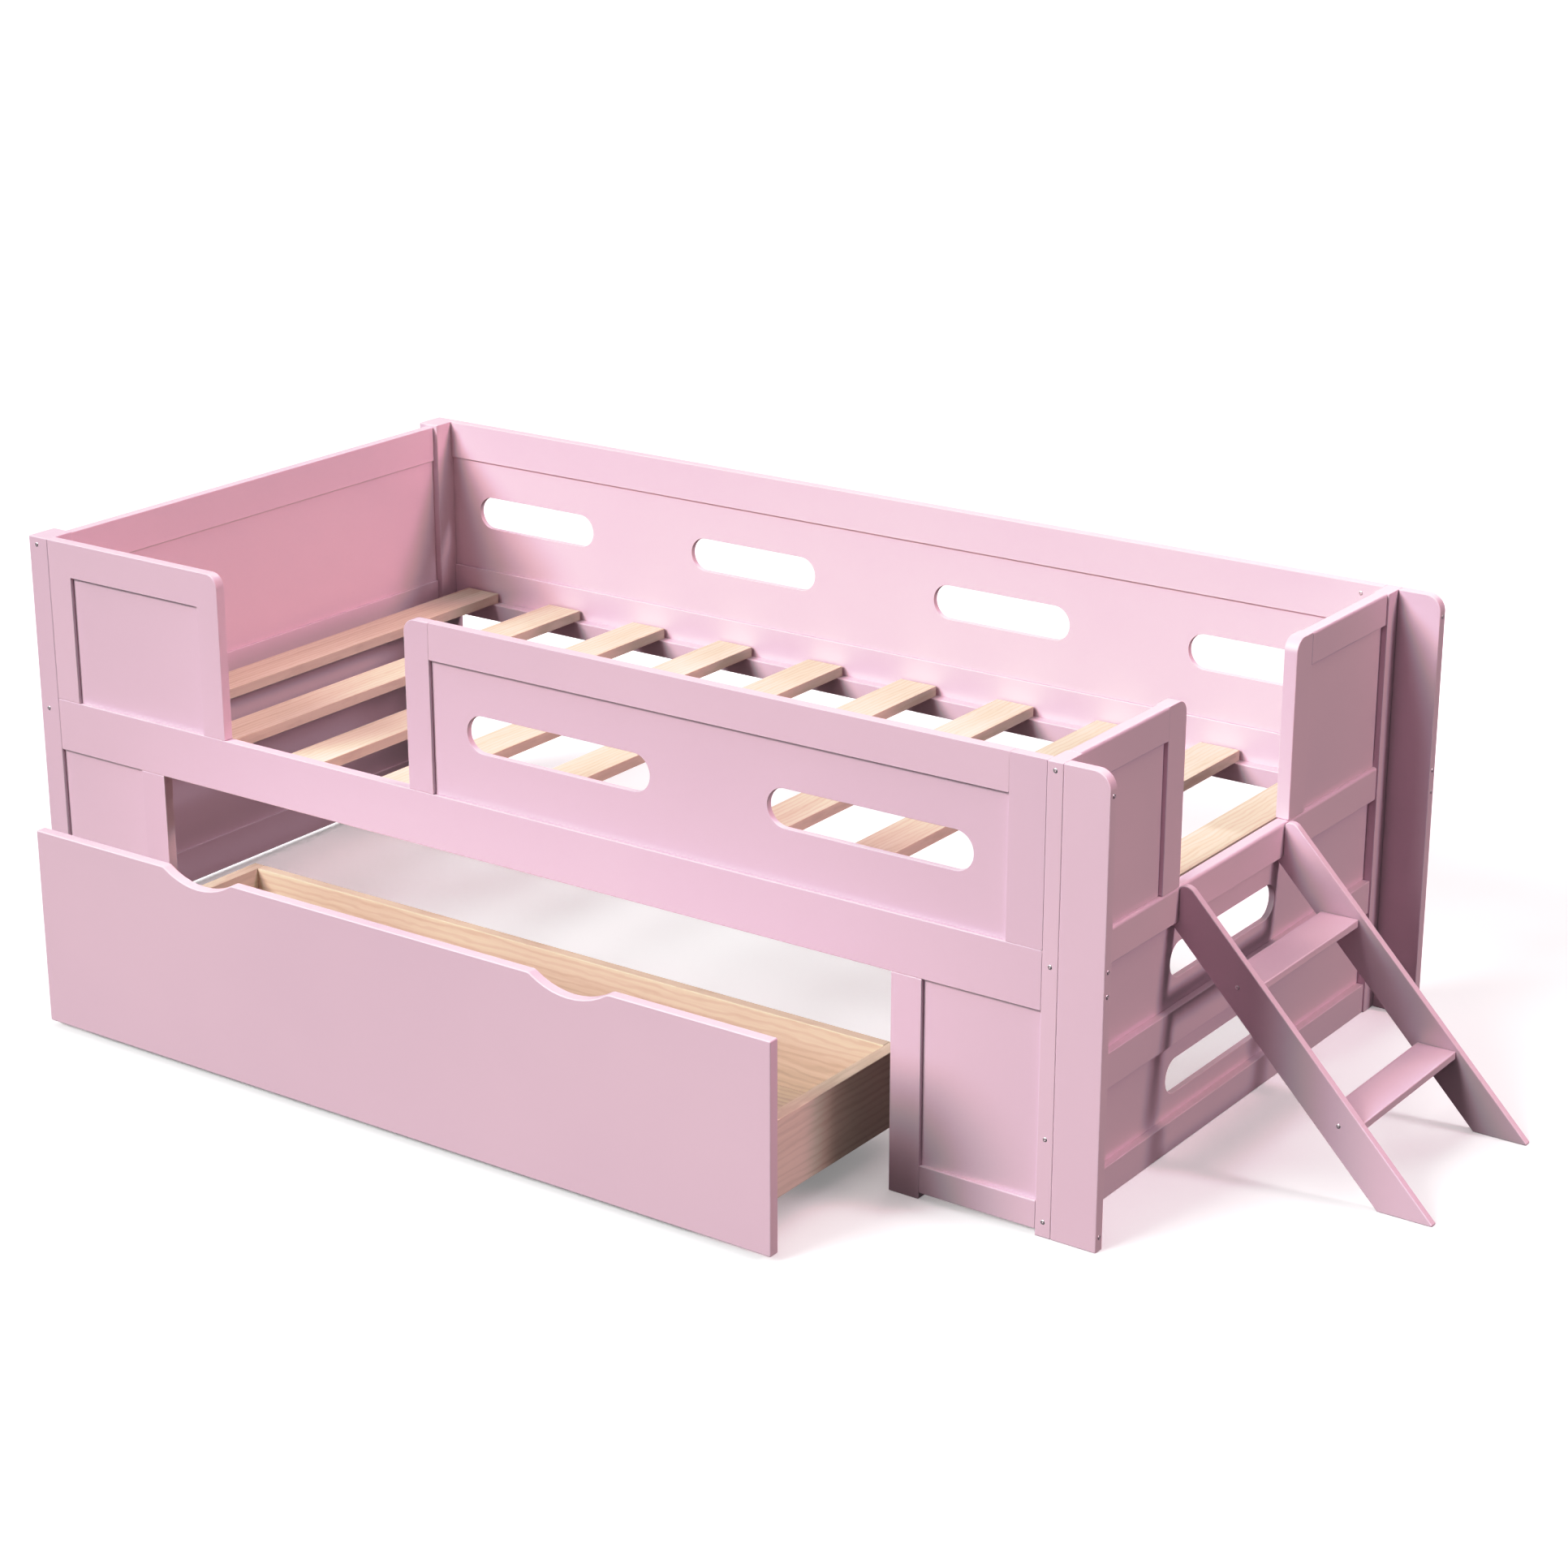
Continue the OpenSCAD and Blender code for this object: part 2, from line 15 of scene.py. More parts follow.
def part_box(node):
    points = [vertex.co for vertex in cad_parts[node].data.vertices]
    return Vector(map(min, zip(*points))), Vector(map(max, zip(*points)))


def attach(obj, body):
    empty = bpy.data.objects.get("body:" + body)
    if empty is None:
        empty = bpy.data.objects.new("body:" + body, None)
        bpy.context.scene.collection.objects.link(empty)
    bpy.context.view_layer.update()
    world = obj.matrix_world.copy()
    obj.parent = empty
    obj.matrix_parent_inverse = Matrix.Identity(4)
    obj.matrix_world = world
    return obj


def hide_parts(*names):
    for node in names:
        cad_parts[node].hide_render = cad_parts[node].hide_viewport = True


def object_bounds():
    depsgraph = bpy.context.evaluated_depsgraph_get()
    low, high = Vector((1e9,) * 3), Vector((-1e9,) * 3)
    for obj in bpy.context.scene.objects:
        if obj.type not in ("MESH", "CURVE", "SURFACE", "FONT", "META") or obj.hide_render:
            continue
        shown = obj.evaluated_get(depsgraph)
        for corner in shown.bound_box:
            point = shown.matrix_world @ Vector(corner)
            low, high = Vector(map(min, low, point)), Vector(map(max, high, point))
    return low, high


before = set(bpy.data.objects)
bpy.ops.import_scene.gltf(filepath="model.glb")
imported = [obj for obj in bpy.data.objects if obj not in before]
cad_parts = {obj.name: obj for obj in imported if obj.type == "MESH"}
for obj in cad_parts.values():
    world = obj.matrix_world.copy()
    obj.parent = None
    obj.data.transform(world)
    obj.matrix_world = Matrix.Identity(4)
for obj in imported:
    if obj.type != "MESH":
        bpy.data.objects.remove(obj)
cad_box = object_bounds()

LOG = logging.getLogger("bed")
MM = 0.001
SAME_SPOT = 1e-6
SLOT_FLAT = 0.02 * MM
ALL_CHANNELS = 3

X = Vector((1, 0, 0))
Y = Vector((0, 1, 0))
Z = Vector((0, 0, 1))

Point = tuple[float, float]
Triple = tuple[float, float, float]
Colour = tuple[float, float, float]


class Facing(Enum):
    """The way a board's face looks, as its two outline directions and its thickness."""

    FRONT = (X, Z, -Y)
    END = (Y, Z, X)
    TOP = (X, Y, Z)


class Grain(Enum):
    """Which of a board's directions its grain runs along."""

    ACROSS = 0
    UP = 1
    THROUGH = 2


class Slot(Enum):
    """The record's material slots."""

    PAINT = "pink_paint"
    WOOD = "natural_wood"
    ZINC = "zinc_steel"
    WHEEL = "wheel_plastic"


# ---- finishes ----


class NodeBench:
    """Lays out the nodes of one material."""

    def __init__(self, name: str) -> None:
        """Starts an empty material with one surface shader.

        Args:
            name: the material's name.
        """
        self.material = bpy.data.materials.new(name)
        self.material.use_nodes = True
        self.tree = self.material.node_tree
        self.tree.nodes.clear()
        self.out = self.add("ShaderNodeOutputMaterial")
        self.surface = self.add("ShaderNodeBsdfPrincipled")
        self.tree.links.new(self.surface.outputs["BSDF"], self.out.inputs["Surface"])

    def add(self, kind: str, **settings: object) -> bpy.types.Node:
        """Adds a node.

        Args:
            kind: the node's type.
            settings: properties of the node to set.

        Returns:
            The new node.
        """
        node = self.tree.nodes.new(kind)
        for key, value in settings.items():
            setattr(node, key, value)
        return node

    def give(self, socket: bpy.types.NodeSocket, value: object) -> None:
        """Links a socket to another one, or sets its value.

        Args:
            socket: the input to fill.
            value: another node's output, or a fixed value.
        """
        if isinstance(value, bpy.types.NodeSocket):
            self.tree.links.new(value, socket)
        else:
            socket.default_value = value

    def preset(self, node: bpy.types.Node, **values: float) -> None:
        """Sets several of a node's inputs, named with _ for a space."""
        for key, value in values.items():
            node.inputs[key.replace("_", " ")].default_value = value

    def marked(self, name: str) -> bpy.types.Node:
        """The node that reads one of the mesh's own attributes."""
        return self.add("ShaderNodeAttribute", attribute_name=name)

    def scaled(self, vector: bpy.types.NodeSocket, scale: Sequence[float]) -> bpy.types.NodeSocket:
        """Scales a vector.

        Args:
            vector: the socket of the vector.
            scale: the scale in its three directions.

        Returns:
            The scaled vector's socket.
        """
        node = self.add("ShaderNodeMapping")
        self.give(node.inputs["Vector"], vector)
        node.inputs["Scale"].default_value = scale
        return node.outputs["Vector"]

    def noise(
        self, vector: bpy.types.NodeSocket, scale: float, detail: float = 3.0,
        rough: float = 0.5, warp: float = 0.0,
    ) -> bpy.types.NodeSocket:
        """Cloudy noise.

        Args:
            vector: where the noise is read.
            scale: cells per metre.
            detail: number of finer layers.
            rough: strength of the finer layers.
            warp: how far the noise bends itself.

        Returns:
            The socket with a value from 0 to 1.
        """
        node = self.add("ShaderNodeTexNoise")
        self.give(node.inputs["Vector"], vector)
        self.preset(node, Scale=scale, Detail=detail, Roughness=rough, Distortion=warp)
        return node.outputs["Fac"]

    def spread(
        self, value: bpy.types.NodeSocket, low: float, high: float,
        out_low: float = 0.0, out_high: float = 1.0,
    ) -> bpy.types.NodeSocket:
        """Maps one range of a value onto another, held at the ends.

        Args:
            value: the socket of the value.
            low: where the range starts.
            high: where it ends.
            out_low: what low becomes.
            out_high: what high becomes.

        Returns:
            The mapped value's socket.
        """
        node = self.add("ShaderNodeMapRange")
        self.give(node.inputs["Value"], value)
        self.preset(node, From_Min=low, From_Max=high, To_Min=out_low, To_Max=out_high)
        return node.outputs["Result"]

    def sums(self, kind: str, a: object, b: object) -> bpy.types.NodeSocket:
        """Joins two values.

        Args:
            kind: ADD or MULTIPLY.
            a: the first value or its socket.
            b: the second value or its socket.

        Returns:
            The result's socket.
        """
        node = self.add("ShaderNodeMath", operation=kind)
        self.give(node.inputs[0], a)
        self.give(node.inputs[1], b)
        return node.outputs[0]

    def tint(self, share: object, a: object, b: object) -> bpy.types.NodeSocket:
        """Mixes two colours.

        Args:
            share: how much of the second colour, from 0 to 1.
            a: the first colour or its socket.
            b: the second colour or its socket.

        Returns:
            The mixed colour's socket.
        """
        node = self.add("ShaderNodeMix", data_type="RGBA")
        self.give(node.inputs["Factor"], share)
        for key, colour in ((6, a), (7, b)):
            opaque = (*colour, 1.0) if isinstance(colour, tuple) else colour
            self.give(node.inputs[key], opaque)
        return node.outputs[2]

    def bump(self, height: bpy.types.NodeSocket, depth: float,
             under: bpy.types.NodeSocket | None = None) -> bpy.types.NodeSocket:
        """Raises the surface.

        Args:
            height: a value from 0 to 1.
            depth: the height of a value of 1, in metres.
            under: the relief that this one is laid over.

        Returns:
            The normal socket.
        """
        node = self.add("ShaderNodeBump")
        node.inputs["Strength"].default_value = 1.0
        node.inputs["Distance"].default_value = depth
        self.give(node.inputs["Height"], height)
        if under is not None:
            self.give(node.inputs["Normal"], under)
        return node.outputs["Normal"]

    def dress(self, colour: object, rough: object, normal: object = None,
              **fixed: object) -> bpy.types.Material:
        """Connects the surface shader.

        Args:
            colour: base colour or its socket.
            rough: roughness or its socket.
            normal: the relief's socket.
            fixed: other inputs of the shader with one value all over.

        Returns:
            The finished material.
        """
        self.give(self.surface.inputs["Base Color"], colour)
        self.give(self.surface.inputs["Roughness"], rough)
        if normal is not None:
            self.give(self.surface.inputs["Normal"], normal)
        for key, value in fixed.items():
            words = key.replace("_", " ").title().replace("Ior", "IOR")
            self.surface.inputs[words].default_value = value
        return self.material


@dataclass(frozen=True)
class Finish:
    """A finish of the bed, with the material slot it belongs to."""

    name: str
    slot: Slot

    def material(self) -> bpy.types.Material:
        """The finish's material, made once."""
        return bpy.data.materials.get(self.name) or self.mix(NodeBench(self.name))

    def mix(self, bench: NodeBench) -> bpy.types.Material:
        """Lays out the finish's nodes; each kind of finish has its own."""
        raise NotImplementedError


@dataclass(frozen=True)
class SatinPaint(Finish):
    """Sprayed satin lacquer over sanded board."""

    colour: Colour = (0.765, 0.608, 0.685)
    warm: Colour = (0.79, 0.628, 0.695)
    # edge: the painted highlight colour that the arrises are lightened towards
    edge: Colour = (0.87, 0.76, 0.81)
    rough: float = 0.46
    cloud_cells: float = 2.3
    fibre_cells: Triple = (3.0, 85.0, 85.0)
    fibre_depth: float = 5e-6
    highlight_and_wear_cells: float = 60.0
    stipple_cells: float = 620.0
    stipple_depth: float = 9e-6

    def mix(self, bench: NodeBench) -> bpy.types.Material:
        """Cloudy tone, faint grain under the coat, spray stipple, and a painted highlight on the
        arrises, broken up by a wear noise.

        Args:
            bench: where the nodes are laid out.

        Returns:
            The finished material.
        """
        wood = bench.marked("grain").outputs["Vector"]
        cloud = bench.spread(bench.noise(wood, self.cloud_cells), 0.35, 0.65)
        streak = bench.noise(bench.scaled(wood, self.fibre_cells), 1.0, 4.0)
        tone = bench.marked("tone").outputs["Fac"]
        share = bench.sums("MULTIPLY", bench.sums("ADD", cloud, tone), 0.5)
        colour = bench.tint(share, self.colour, self.warm)
        # Painted highlight: the arrises are mixed towards the light edge colour, in patches set by
        # a wear noise
        highlight_and_wear = bench.spread(bench.noise(wood, self.highlight_and_wear_cells, 2.0), 0.35, 0.75, 0.10, 0.38)
        thin = bench.sums("MULTIPLY", bench.marked("arris").outputs["Fac"], highlight_and_wear)
        colour = bench.tint(thin, colour, self.edge)
        orange_peel = bench.noise(wood, self.stipple_cells, 2.0)
        rough = bench.spread(bench.sums("ADD", cloud, orange_peel), 0.3, 1.6,
                             self.rough - 0.05, self.rough + 0.07)
        relief = bench.bump(streak, self.fibre_depth)
        relief = bench.bump(orange_peel, self.stipple_depth, relief)
        return bench.dress(colour, rough, relief, specular_ior_level=0.5,
                           coat_weight=0.10, coat_roughness=0.36)


@dataclass(frozen=True)
class PlainWood(Finish):
    """Planed light wood with a straight fine grain."""

    light: Colour = (0.83, 0.73, 0.61)
    dark: Colour = (0.70, 0.57, 0.45)
    end: Colour = (0.56, 0.41, 0.29)
    lines: float = 1.0
    rough: float = 0.52
    bend_cells: Triple = (1.1, 6.0, 6.0)
    ring_stretch: Triple = (0.30, 1.0, 1.3)
    ring_count: float = 34.0
    streak_cells: Triple = (1.6, 75.0, 75.0)
    streak_depth: float = 40e-6
    pore_cells: Triple = (14.0, 520.0, 520.0)
    pore_depth: float = 25e-6

    def mix(self, bench: NodeBench) -> bpy.types.Material:
        """Growth lines along the board, pores, end grain and a tone for each board.

        Args:
            bench: where the nodes are laid out.

        Returns:
            The finished material.
        """
        wood = bench.marked("grain").outputs["Vector"]
        bend = bench.noise(bench.scaled(wood, self.bend_cells), 1.0, 2.0)
        flow = bench.add("ShaderNodeTexWave", wave_type="BANDS", bands_direction="Y")
        bench.give(flow.inputs["Vector"], bench.scaled(wood, self.ring_stretch))
        bench.preset(flow, Scale=self.ring_count * self.lines, Distortion=7.0, Detail=3.0,
                     Detail_Scale=0.9, Detail_Roughness=0.62)
        streak = bench.noise(bench.scaled(wood, self.streak_cells), 1.0, 5.0, 0.6, 0.3)
        pores = bench.noise(bench.scaled(wood, self.pore_cells), 1.0, 2.0)
        lines = bench.sums("MULTIPLY", bench.spread(flow.outputs["Fac"], 0.45, 1.0), 0.40)
        share = bench.sums("ADD", lines, bench.spread(streak, 0.35, 0.75, 0.0, 0.50))
        share = bench.sums("ADD", share, bench.spread(bend, 0.4, 0.7, -0.10, 0.14))
        share = bench.sums("ADD", share, bench.spread(pores, 0.60, 0.75, 0.0, 0.16))
        tone = bench.spread(bench.marked("tone").outputs["Fac"], 0.0, 1.0, -0.12, 0.16)
        share = bench.spread(bench.sums("ADD", share, tone), 0.0, 1.0)
        colour = bench.tint(share, self.light, self.dark)
        cut = bench.sums("MULTIPLY", bench.marked("end_grain").outputs["Fac"], 0.45)
        colour = bench.tint(cut, colour, self.end)
        rough = bench.spread(streak, 0.3, 0.8, self.rough - 0.05, self.rough + 0.12)
        relief = bench.bump(streak, self.streak_depth)
        relief = bench.bump(pores, self.pore_depth, relief)
        return bench.dress(colour, rough, relief, specular_ior_level=0.35)


@dataclass(frozen=True)
class ZincPlate(Finish):
    """Zinc-plated steel."""

    colour: Colour = (0.93, 0.92, 0.92)
    dull: Colour = (0.80, 0.79, 0.80)
    mottle_cells: float = 420.0
    scuff_cells: Triple = (40.0, 900.0, 900.0)
    scuff_depth: float = 8e-6

    def mix(self, bench: NodeBench) -> bpy.types.Material:
        """Bright plating with a faint crystal mottle and handling marks.

        Args:
            bench: where the nodes are laid out.

        Returns:
            The finished material.
        """
        where = bench.marked("grain").outputs["Vector"]
        mottle = bench.noise(where, self.mottle_cells, 4.0, 0.65)
        scuff = bench.noise(bench.scaled(where, self.scuff_cells), 1.0)
        colour = bench.tint(bench.spread(mottle, 0.35, 0.7), self.colour, self.dull)
        rough = bench.spread(bench.sums("ADD", mottle, scuff), 0.6, 1.4, 0.22, 0.42)
        return bench.dress(colour, rough, bench.bump(scuff, self.scuff_depth), metallic=0.8)


@dataclass(frozen=True)
class WheelPlastic(Finish):
    """Moulded grey nylon."""

    colour: Colour = (0.085, 0.085, 0.09)
    worn: Colour = (0.15, 0.148, 0.145)
    skin_cells: float = 800.0
    skin_depth: float = 20e-6
    dust_cells: float = 90.0

    def mix(self, bench: NodeBench) -> bpy.types.Material:
        """Dull moulded skin with floor dust in its texture.

        Args:
            bench: where the nodes are laid out.

        Returns:
            The finished material.
        """
        where = bench.marked("grain").outputs["Vector"]
        skin = bench.noise(where, self.skin_cells)
        dust = bench.noise(where, self.dust_cells, 4.0, 0.6)
        colour = bench.tint(bench.spread(dust, 0.4, 0.75), self.colour, self.worn)
        rough = bench.spread(skin, 0.3, 0.7, 0.42, 0.60)
        return bench.dress(colour, rough, bench.bump(skin, self.skin_depth))


@dataclass(frozen=True)
class StudioFloor(Finish):
    """The matt pale surface of the studio's floor and backdrop."""

    colour: Colour = (0.84, 0.84, 0.842)
    shaded: float = 0.985
    cloud_cells: float = 0.8
    glow: float = 0.28

    def mix(self, bench: NodeBench) -> bpy.types.Material:
        """A nearly even matt surface.

        Args:
            bench: where the nodes are laid out.

        Returns:
            The finished material.
        """
        place = bench.add("ShaderNodeTexCoord").outputs["Object"]
        cloud = bench.spread(bench.noise(place, self.cloud_cells, 2.0), 0.3, 0.7)
        shade = tuple(self.shaded * part for part in self.colour)
        return bench.dress(bench.tint(cloud, self.colour, shade), 0.8, specular_ior_level=0.2,
                           emission_color=(1.0, 1.0, 1.0, 1.0), emission_strength=self.glow)


PAINT = SatinPaint("pink_satin_paint", Slot.PAINT)
SLAT_WOOD = PlainWood("slat_wood", Slot.WOOD)
DRAWER_WOOD = PlainWood("drawer_wood", Slot.WOOD, light=(0.80, 0.71, 0.59),
                        dark=(0.65, 0.54, 0.43), lines=0.75)
ZINC = ZincPlate("zinc_plated_steel", Slot.ZINC)
NYLON = WheelPlastic("wheel_nylon", Slot.WHEEL)
FLOOR = StudioFloor("studio_floor", Slot.PAINT)
BACKDROP = StudioFloor("studio_backdrop", Slot.PAINT, glow=1.0)


# ---- outlines and pieces ----


@dataclass
class Ring:
    """A closed line round a board's face, with the direction out of the wood at each point."""

    SMALL_RADIUS = 3 * MM
    SMALL_TURN = 30
    LARGE_TURN = 7

    points: list[Vector] = field(default_factory=list)
    outward: list[Vector] = field(default_factory=list)

    def put(self, point: Vector, outward: Vector) -> None:
        """Adds a point, unless it repeats the one before.

        Args:
            point: the point.
            outward: the direction out of the wood there.
        """
        if not self.points or (point - self.points[-1]).length > SAME_SPOT:
            self.points.append(point)
            self.outward.append(outward)

    def bend(self, centre: Vector, radius: float, start: Vector, end: Vector,
             hollow: bool = False) -> None:
        """Adds an arc.

        Args:
            centre: middle of the arc.
            radius: its radius.
            start: the outward direction where it begins.
            end: the outward direction where it ends.
            hollow: true where the wood is outside the arc.
        """
        turn = math.atan2(start.x * end.y - start.y * end.x, start.dot(end))
        fine = self.LARGE_TURN if radius > self.SMALL_RADIUS else self.SMALL_TURN
        steps = max(2, math.ceil(abs(math.degrees(turn)) / fine))
        for k in range(steps + 1):
            spin = turn * k / steps
            out = Vector((start.x * math.cos(spin) - start.y * math.sin(spin),
                          start.x * math.sin(spin) + start.y * math.cos(spin)))
            self.put(centre + out * (-radius if hollow else radius), out)

    def close(self) -> "Ring":
        """Drops a last point that repeats the first.

        Returns:
            The ring itself.
        """
        if (self.points[0] - self.points[-1]).length <= SAME_SPOT:
            self.points.pop()
            self.outward.pop()
        return self

    @staticmethod
    def through(corners: Sequence[Triple]) -> "Ring":
        """A ring through rounded corners.

        Args:
            corners: across, up and radius of each corner, with the wood on the left.

        Returns:
            The ring.
        """
        ring = Ring()
        for k, (across, up, radius) in enumerate(corners):
            here = Vector((across, up))
            before = (here - Vector(corners[k - 1][:2])).normalized()
            after = (Vector(corners[(k + 1) % len(corners)][:2]) - here).normalized()
            start, end = Vector((before.y, -before.x)), Vector((after.y, -after.x))
            hollow = before.x * after.y - before.y * after.x < 0
            reach = (start + end) * (radius / (1 + start.dot(end)))
            ring.bend(here + (reach if hollow else -reach), radius, start, end, hollow)
        return ring.close()


def cornered(low: Vector, high: Vector, radii: Sequence[float]) -> Ring:
    """A rectangle with a radius for each corner.

    Args:
        low: its lower left corner.
        high: its upper right corner.
        radii: of the lower left, lower right, upper right and upper left corner.

    Returns:
        The ring.
    """
    places = ((low.x, low.y), (high.x, low.y), (high.x, high.y), (low.x, high.y))
    return Ring.through([(*place, radius) for place, radius in zip(places, radii)])


def rectangle(low: Vector, high: Vector, radius: float) -> Ring:
    """A rectangle with its four corners rounded alike."""
    return cornered(low, high, (radius,) * 4)


def slot_hole(middle: Vector, length: float, height: float) -> Ring:
    """A round-ended slot through a board, the wood outside it.

    Args:
        middle: its middle, across and up.
        length: from end to end.
        height: from edge to edge.

    Returns:
        The ring.
    """
    half, rise = length / 2, height / 2
    radius = rise - SLOT_FLAT
    corners = [(middle.x + a * half, middle.y + b * rise, radius)
               for a, b in ((-1, -1), (-1, 1), (1, 1), (1, -1))]
    return Ring.through(corners)


def round_hole(middle: Vector, radius: float) -> Ring:
    """A drilled hole, the wood outside it."""
    return slot_hole(middle, 2 * radius, 2 * radius)


class Workpiece:
    """Gathers the corners and faces of one piece, then makes its object."""

    ARRIS_STEPS = 3
    GRAIN_REACH = 9
    SHARP = math.radians(32)

    def __init__(self, name: str, finish: Finish) -> None:
        """Starts an empty piece.

        Args:
            name: the piece's name, which also seeds its tone and grain.
            finish: what it's finished with.
        """
        self.name = name
        self.finish = finish
        self.points: list[Vector] = []
        self.normals: list[Vector] = []
        self.faces: list[tuple[int, ...]] = []
        self.marks: dict[str, list[float]] = {"arris": [], "end_grain": [], "tone": []}
        self.grain: list[Vector] = []
        self.luck = random.Random(name)

    def board(
        self, ring: Ring, facing: Facing, middle: Vector, thickness: float,
        arris: float = 1.2 * MM, grain: Grain = Grain.ACROSS, holes: Sequence[Ring] = (),
    ) -> None:
        """Adds a board cut along a ring, its edges eased on both faces.

        Args:
            ring: the outline in the board's own two directions.
            facing: the way its face looks.
            middle: any point of its middle plane.
            thickness: from face to face.
            arris: radius of the eased edges.
            grain: the direction of the grain.
            holes: rings cut through it.
        """
        u, v, w = facing.value
        flat = w * middle.dot(w)
        tone = self.luck.random()
        shift = self.stray(3)
        along = (u, v, w)[grain.value]
        sides = [d for d in (u, v, w) if d is not along]
        rings = [ring, *holes]
        first, levels = len(self.points), self.levels(arris, thickness)
        for inset, height, lean, rise, mark in levels:
            for r in rings:
                for point, out in zip(r.points, r.outward):
                    spot = point - out * inset
                    place = u * spot.x + v * spot.y + w * height + flat
                    normal = (u * out.x + v * out.y) * lean + w * rise
                    self.normals.append(normal)
                    reach = Vector((place.dot(along), place.dot(sides[0]), place.dot(sides[1])))
                    self.corner(place, reach + shift, tone, mark, abs(normal.dot(along)) ** 3)
        self.edges(rings, first, len(levels))
        self.faces_between(rings, first, len(levels))

    def stray(self, count: int) -> Vector:
        """A random shift of a board's grain along the first directions."""
        shift = [self.luck.uniform(0, self.GRAIN_REACH) for _ in range(count)]
        return Vector((*shift, *(0.0 for _ in range(3 - count))))

    def corner(self, place: Vector, grain: Vector, tone: float, arris: float = 0.0,
               end_grain: float = 0.0) -> None:
        """Adds a corner with its marks.

        Args:
            place: where it is.
            grain: its place in the grain.
            tone: the tone of its board.
            arris: 1 on the middle of an eased edge, 0 on a flat face.
            end_grain: 1 where the grain is cut across.
        """
        self.points.append(place)
        self.grain.append(grain)
        for name, value in (("arris", arris), ("end_grain", end_grain), ("tone", tone)):
            self.marks[name].append(value)

    def levels(self, arris: float, thickness: float) -> list[tuple[float, ...]]:
        """The steps of a board's edge from its back to its face.

        Args:
            arris: radius of the eased edges.
            thickness: from face to face.

        Returns:
            Inset, height, lean and rise of the normal, and arris mark of each step.
        """
        angles = [math.pi / 2 * k / self.ARRIS_STEPS for k in range(self.ARRIS_STEPS + 1)]
        return [(arris * (1 - math.cos(angle)),
                 face * (thickness / 2 - arris + arris * math.sin(angle)),
                 math.cos(angle), face * math.sin(angle), math.sin(2 * angle))
                for face in (-1, 1) for angle in sorted(angles, reverse=face < 0)]

    def edges(self, rings: Sequence[Ring], first: int, levels: int) -> None:
        """Joins a board's steps with faces, round its outline and its holes.

        Args:
            rings: the outline and the holes.
            first: number of the board's first corner.
            levels: number of its steps.
        """
        size = sum(len(r.points) for r in rings)
        for k in range(levels - 1):
            base = first + k * size
            for r in rings:
                count = len(r.points)
                for j in range(count):
                    a, b = base + j, base + (j + 1) % count
                    self.faces.append((a, b, b + size, a + size))
                base += count

    def faces_between(self, rings: Sequence[Ring], first: int, levels: int) -> None:
        """Closes a board's back and face between its outline and its holes.

        Args:
            rings: the outline and the holes.
            first: number of the board's first corner.
            levels: number of its steps.
        """
        loops = [[Vector((p.x, p.y, 0)) * (1 / MM) for p in r.points] for r in rings]
        spots = [p for loop in loops for p in loop]
        top = first + (levels - 1) * len(spots)
        for a, b, c in tessellate_polygon(loops):
            if (spots[b] - spots[a]).cross(spots[c] - spots[a]).z < 0:
                b, c = c, b
            self.faces.append((top + a, top + b, top + c))
            self.faces.append((first + a, first + c, first + b))

    def turned(
        self, outline: Sequence[Point], foot: Vector, axis: Vector,
        sides: int = 24, closed: bool = False,
        shape: Callable[[int, float], float] | None = None,
    ) -> None:
        """Adds a turned solid.

        Args:
            outline: radius and height of each step; the first and last lie on the axis,
                unless it is closed.
            foot: the point of the axis at height 0.
            axis: its direction.
            sides: number of sides round it.
            closed: true for a ring with a bore through it.
            shape: changes a step's radius at an angle, given the step's number.
        """
        side = axis.orthogonal().normalized()
        other = axis.cross(side)
        tone = self.luck.random()
        shift = self.stray(2)
        rows: list[list[int]] = []
        for step, (radius, height) in enumerate(outline):
            row = []
            for k in range(sides if radius > SAME_SPOT else 1):
                angle = math.tau * k / sides
                reach = radius * (shape(step, angle) if shape else 1.0)
                over, up = reach * math.cos(angle), reach * math.sin(angle)
                row.append(len(self.points))
                self.corner(foot + axis * height + side * over + other * up,
                            Vector((height, over, up)) + shift, tone)
            rows.append(row)
        pairs = list(zip(rows, rows[1:])) + ([(rows[-1], rows[0])] if closed else [])
        for low, high in pairs:
            for k in range(sides):
                j = (k + 1) % sides
                corners = [low[k % len(low)], low[j % len(low)], high[j % len(high)],
                           high[k % len(high)]]
                kept = [c for n, c in enumerate(corners) if c not in corners[:n]]
                if len(kept) > 2:
                    self.faces.append(tuple(kept))

    def fit(self, body: str, *nodes: str) -> bpy.types.Object:
        """Makes the object, puts it on its body and lets it stand for its nodes.

        Args:
            body: the body that it rides on.
            nodes: the nodes that it stands for.

        Returns:
            The object.
        """
        mesh = bpy.data.meshes.new(self.name)
        mesh.from_pydata(self.points, [], self.faces)
        mesh.polygons.foreach_set("use_smooth", [True] * len(mesh.polygons))
        for name, values in self.marks.items():
            mesh.attributes.new(name, "FLOAT", "POINT").data.foreach_set("value", values)
        flat = [part for spot in self.grain for part in spot]
        mesh.attributes.new("grain", "FLOAT_VECTOR", "POINT").data.foreach_set("vector", flat)
        if self.normals:
            mesh.normals_split_custom_set_from_vertices(self.normals)
        else:
            mesh.set_sharp_from_angle(angle=self.SHARP)
        mesh.materials.append(self.finish.material())
        piece = bpy.data.objects.new(self.name, mesh)
        bpy.context.scene.collection.objects.link(piece)
        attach(piece, body)
        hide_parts(*nodes)
        LOG.info("%s: %d faces on %s", self.name, len(self.faces), body)
        return piece


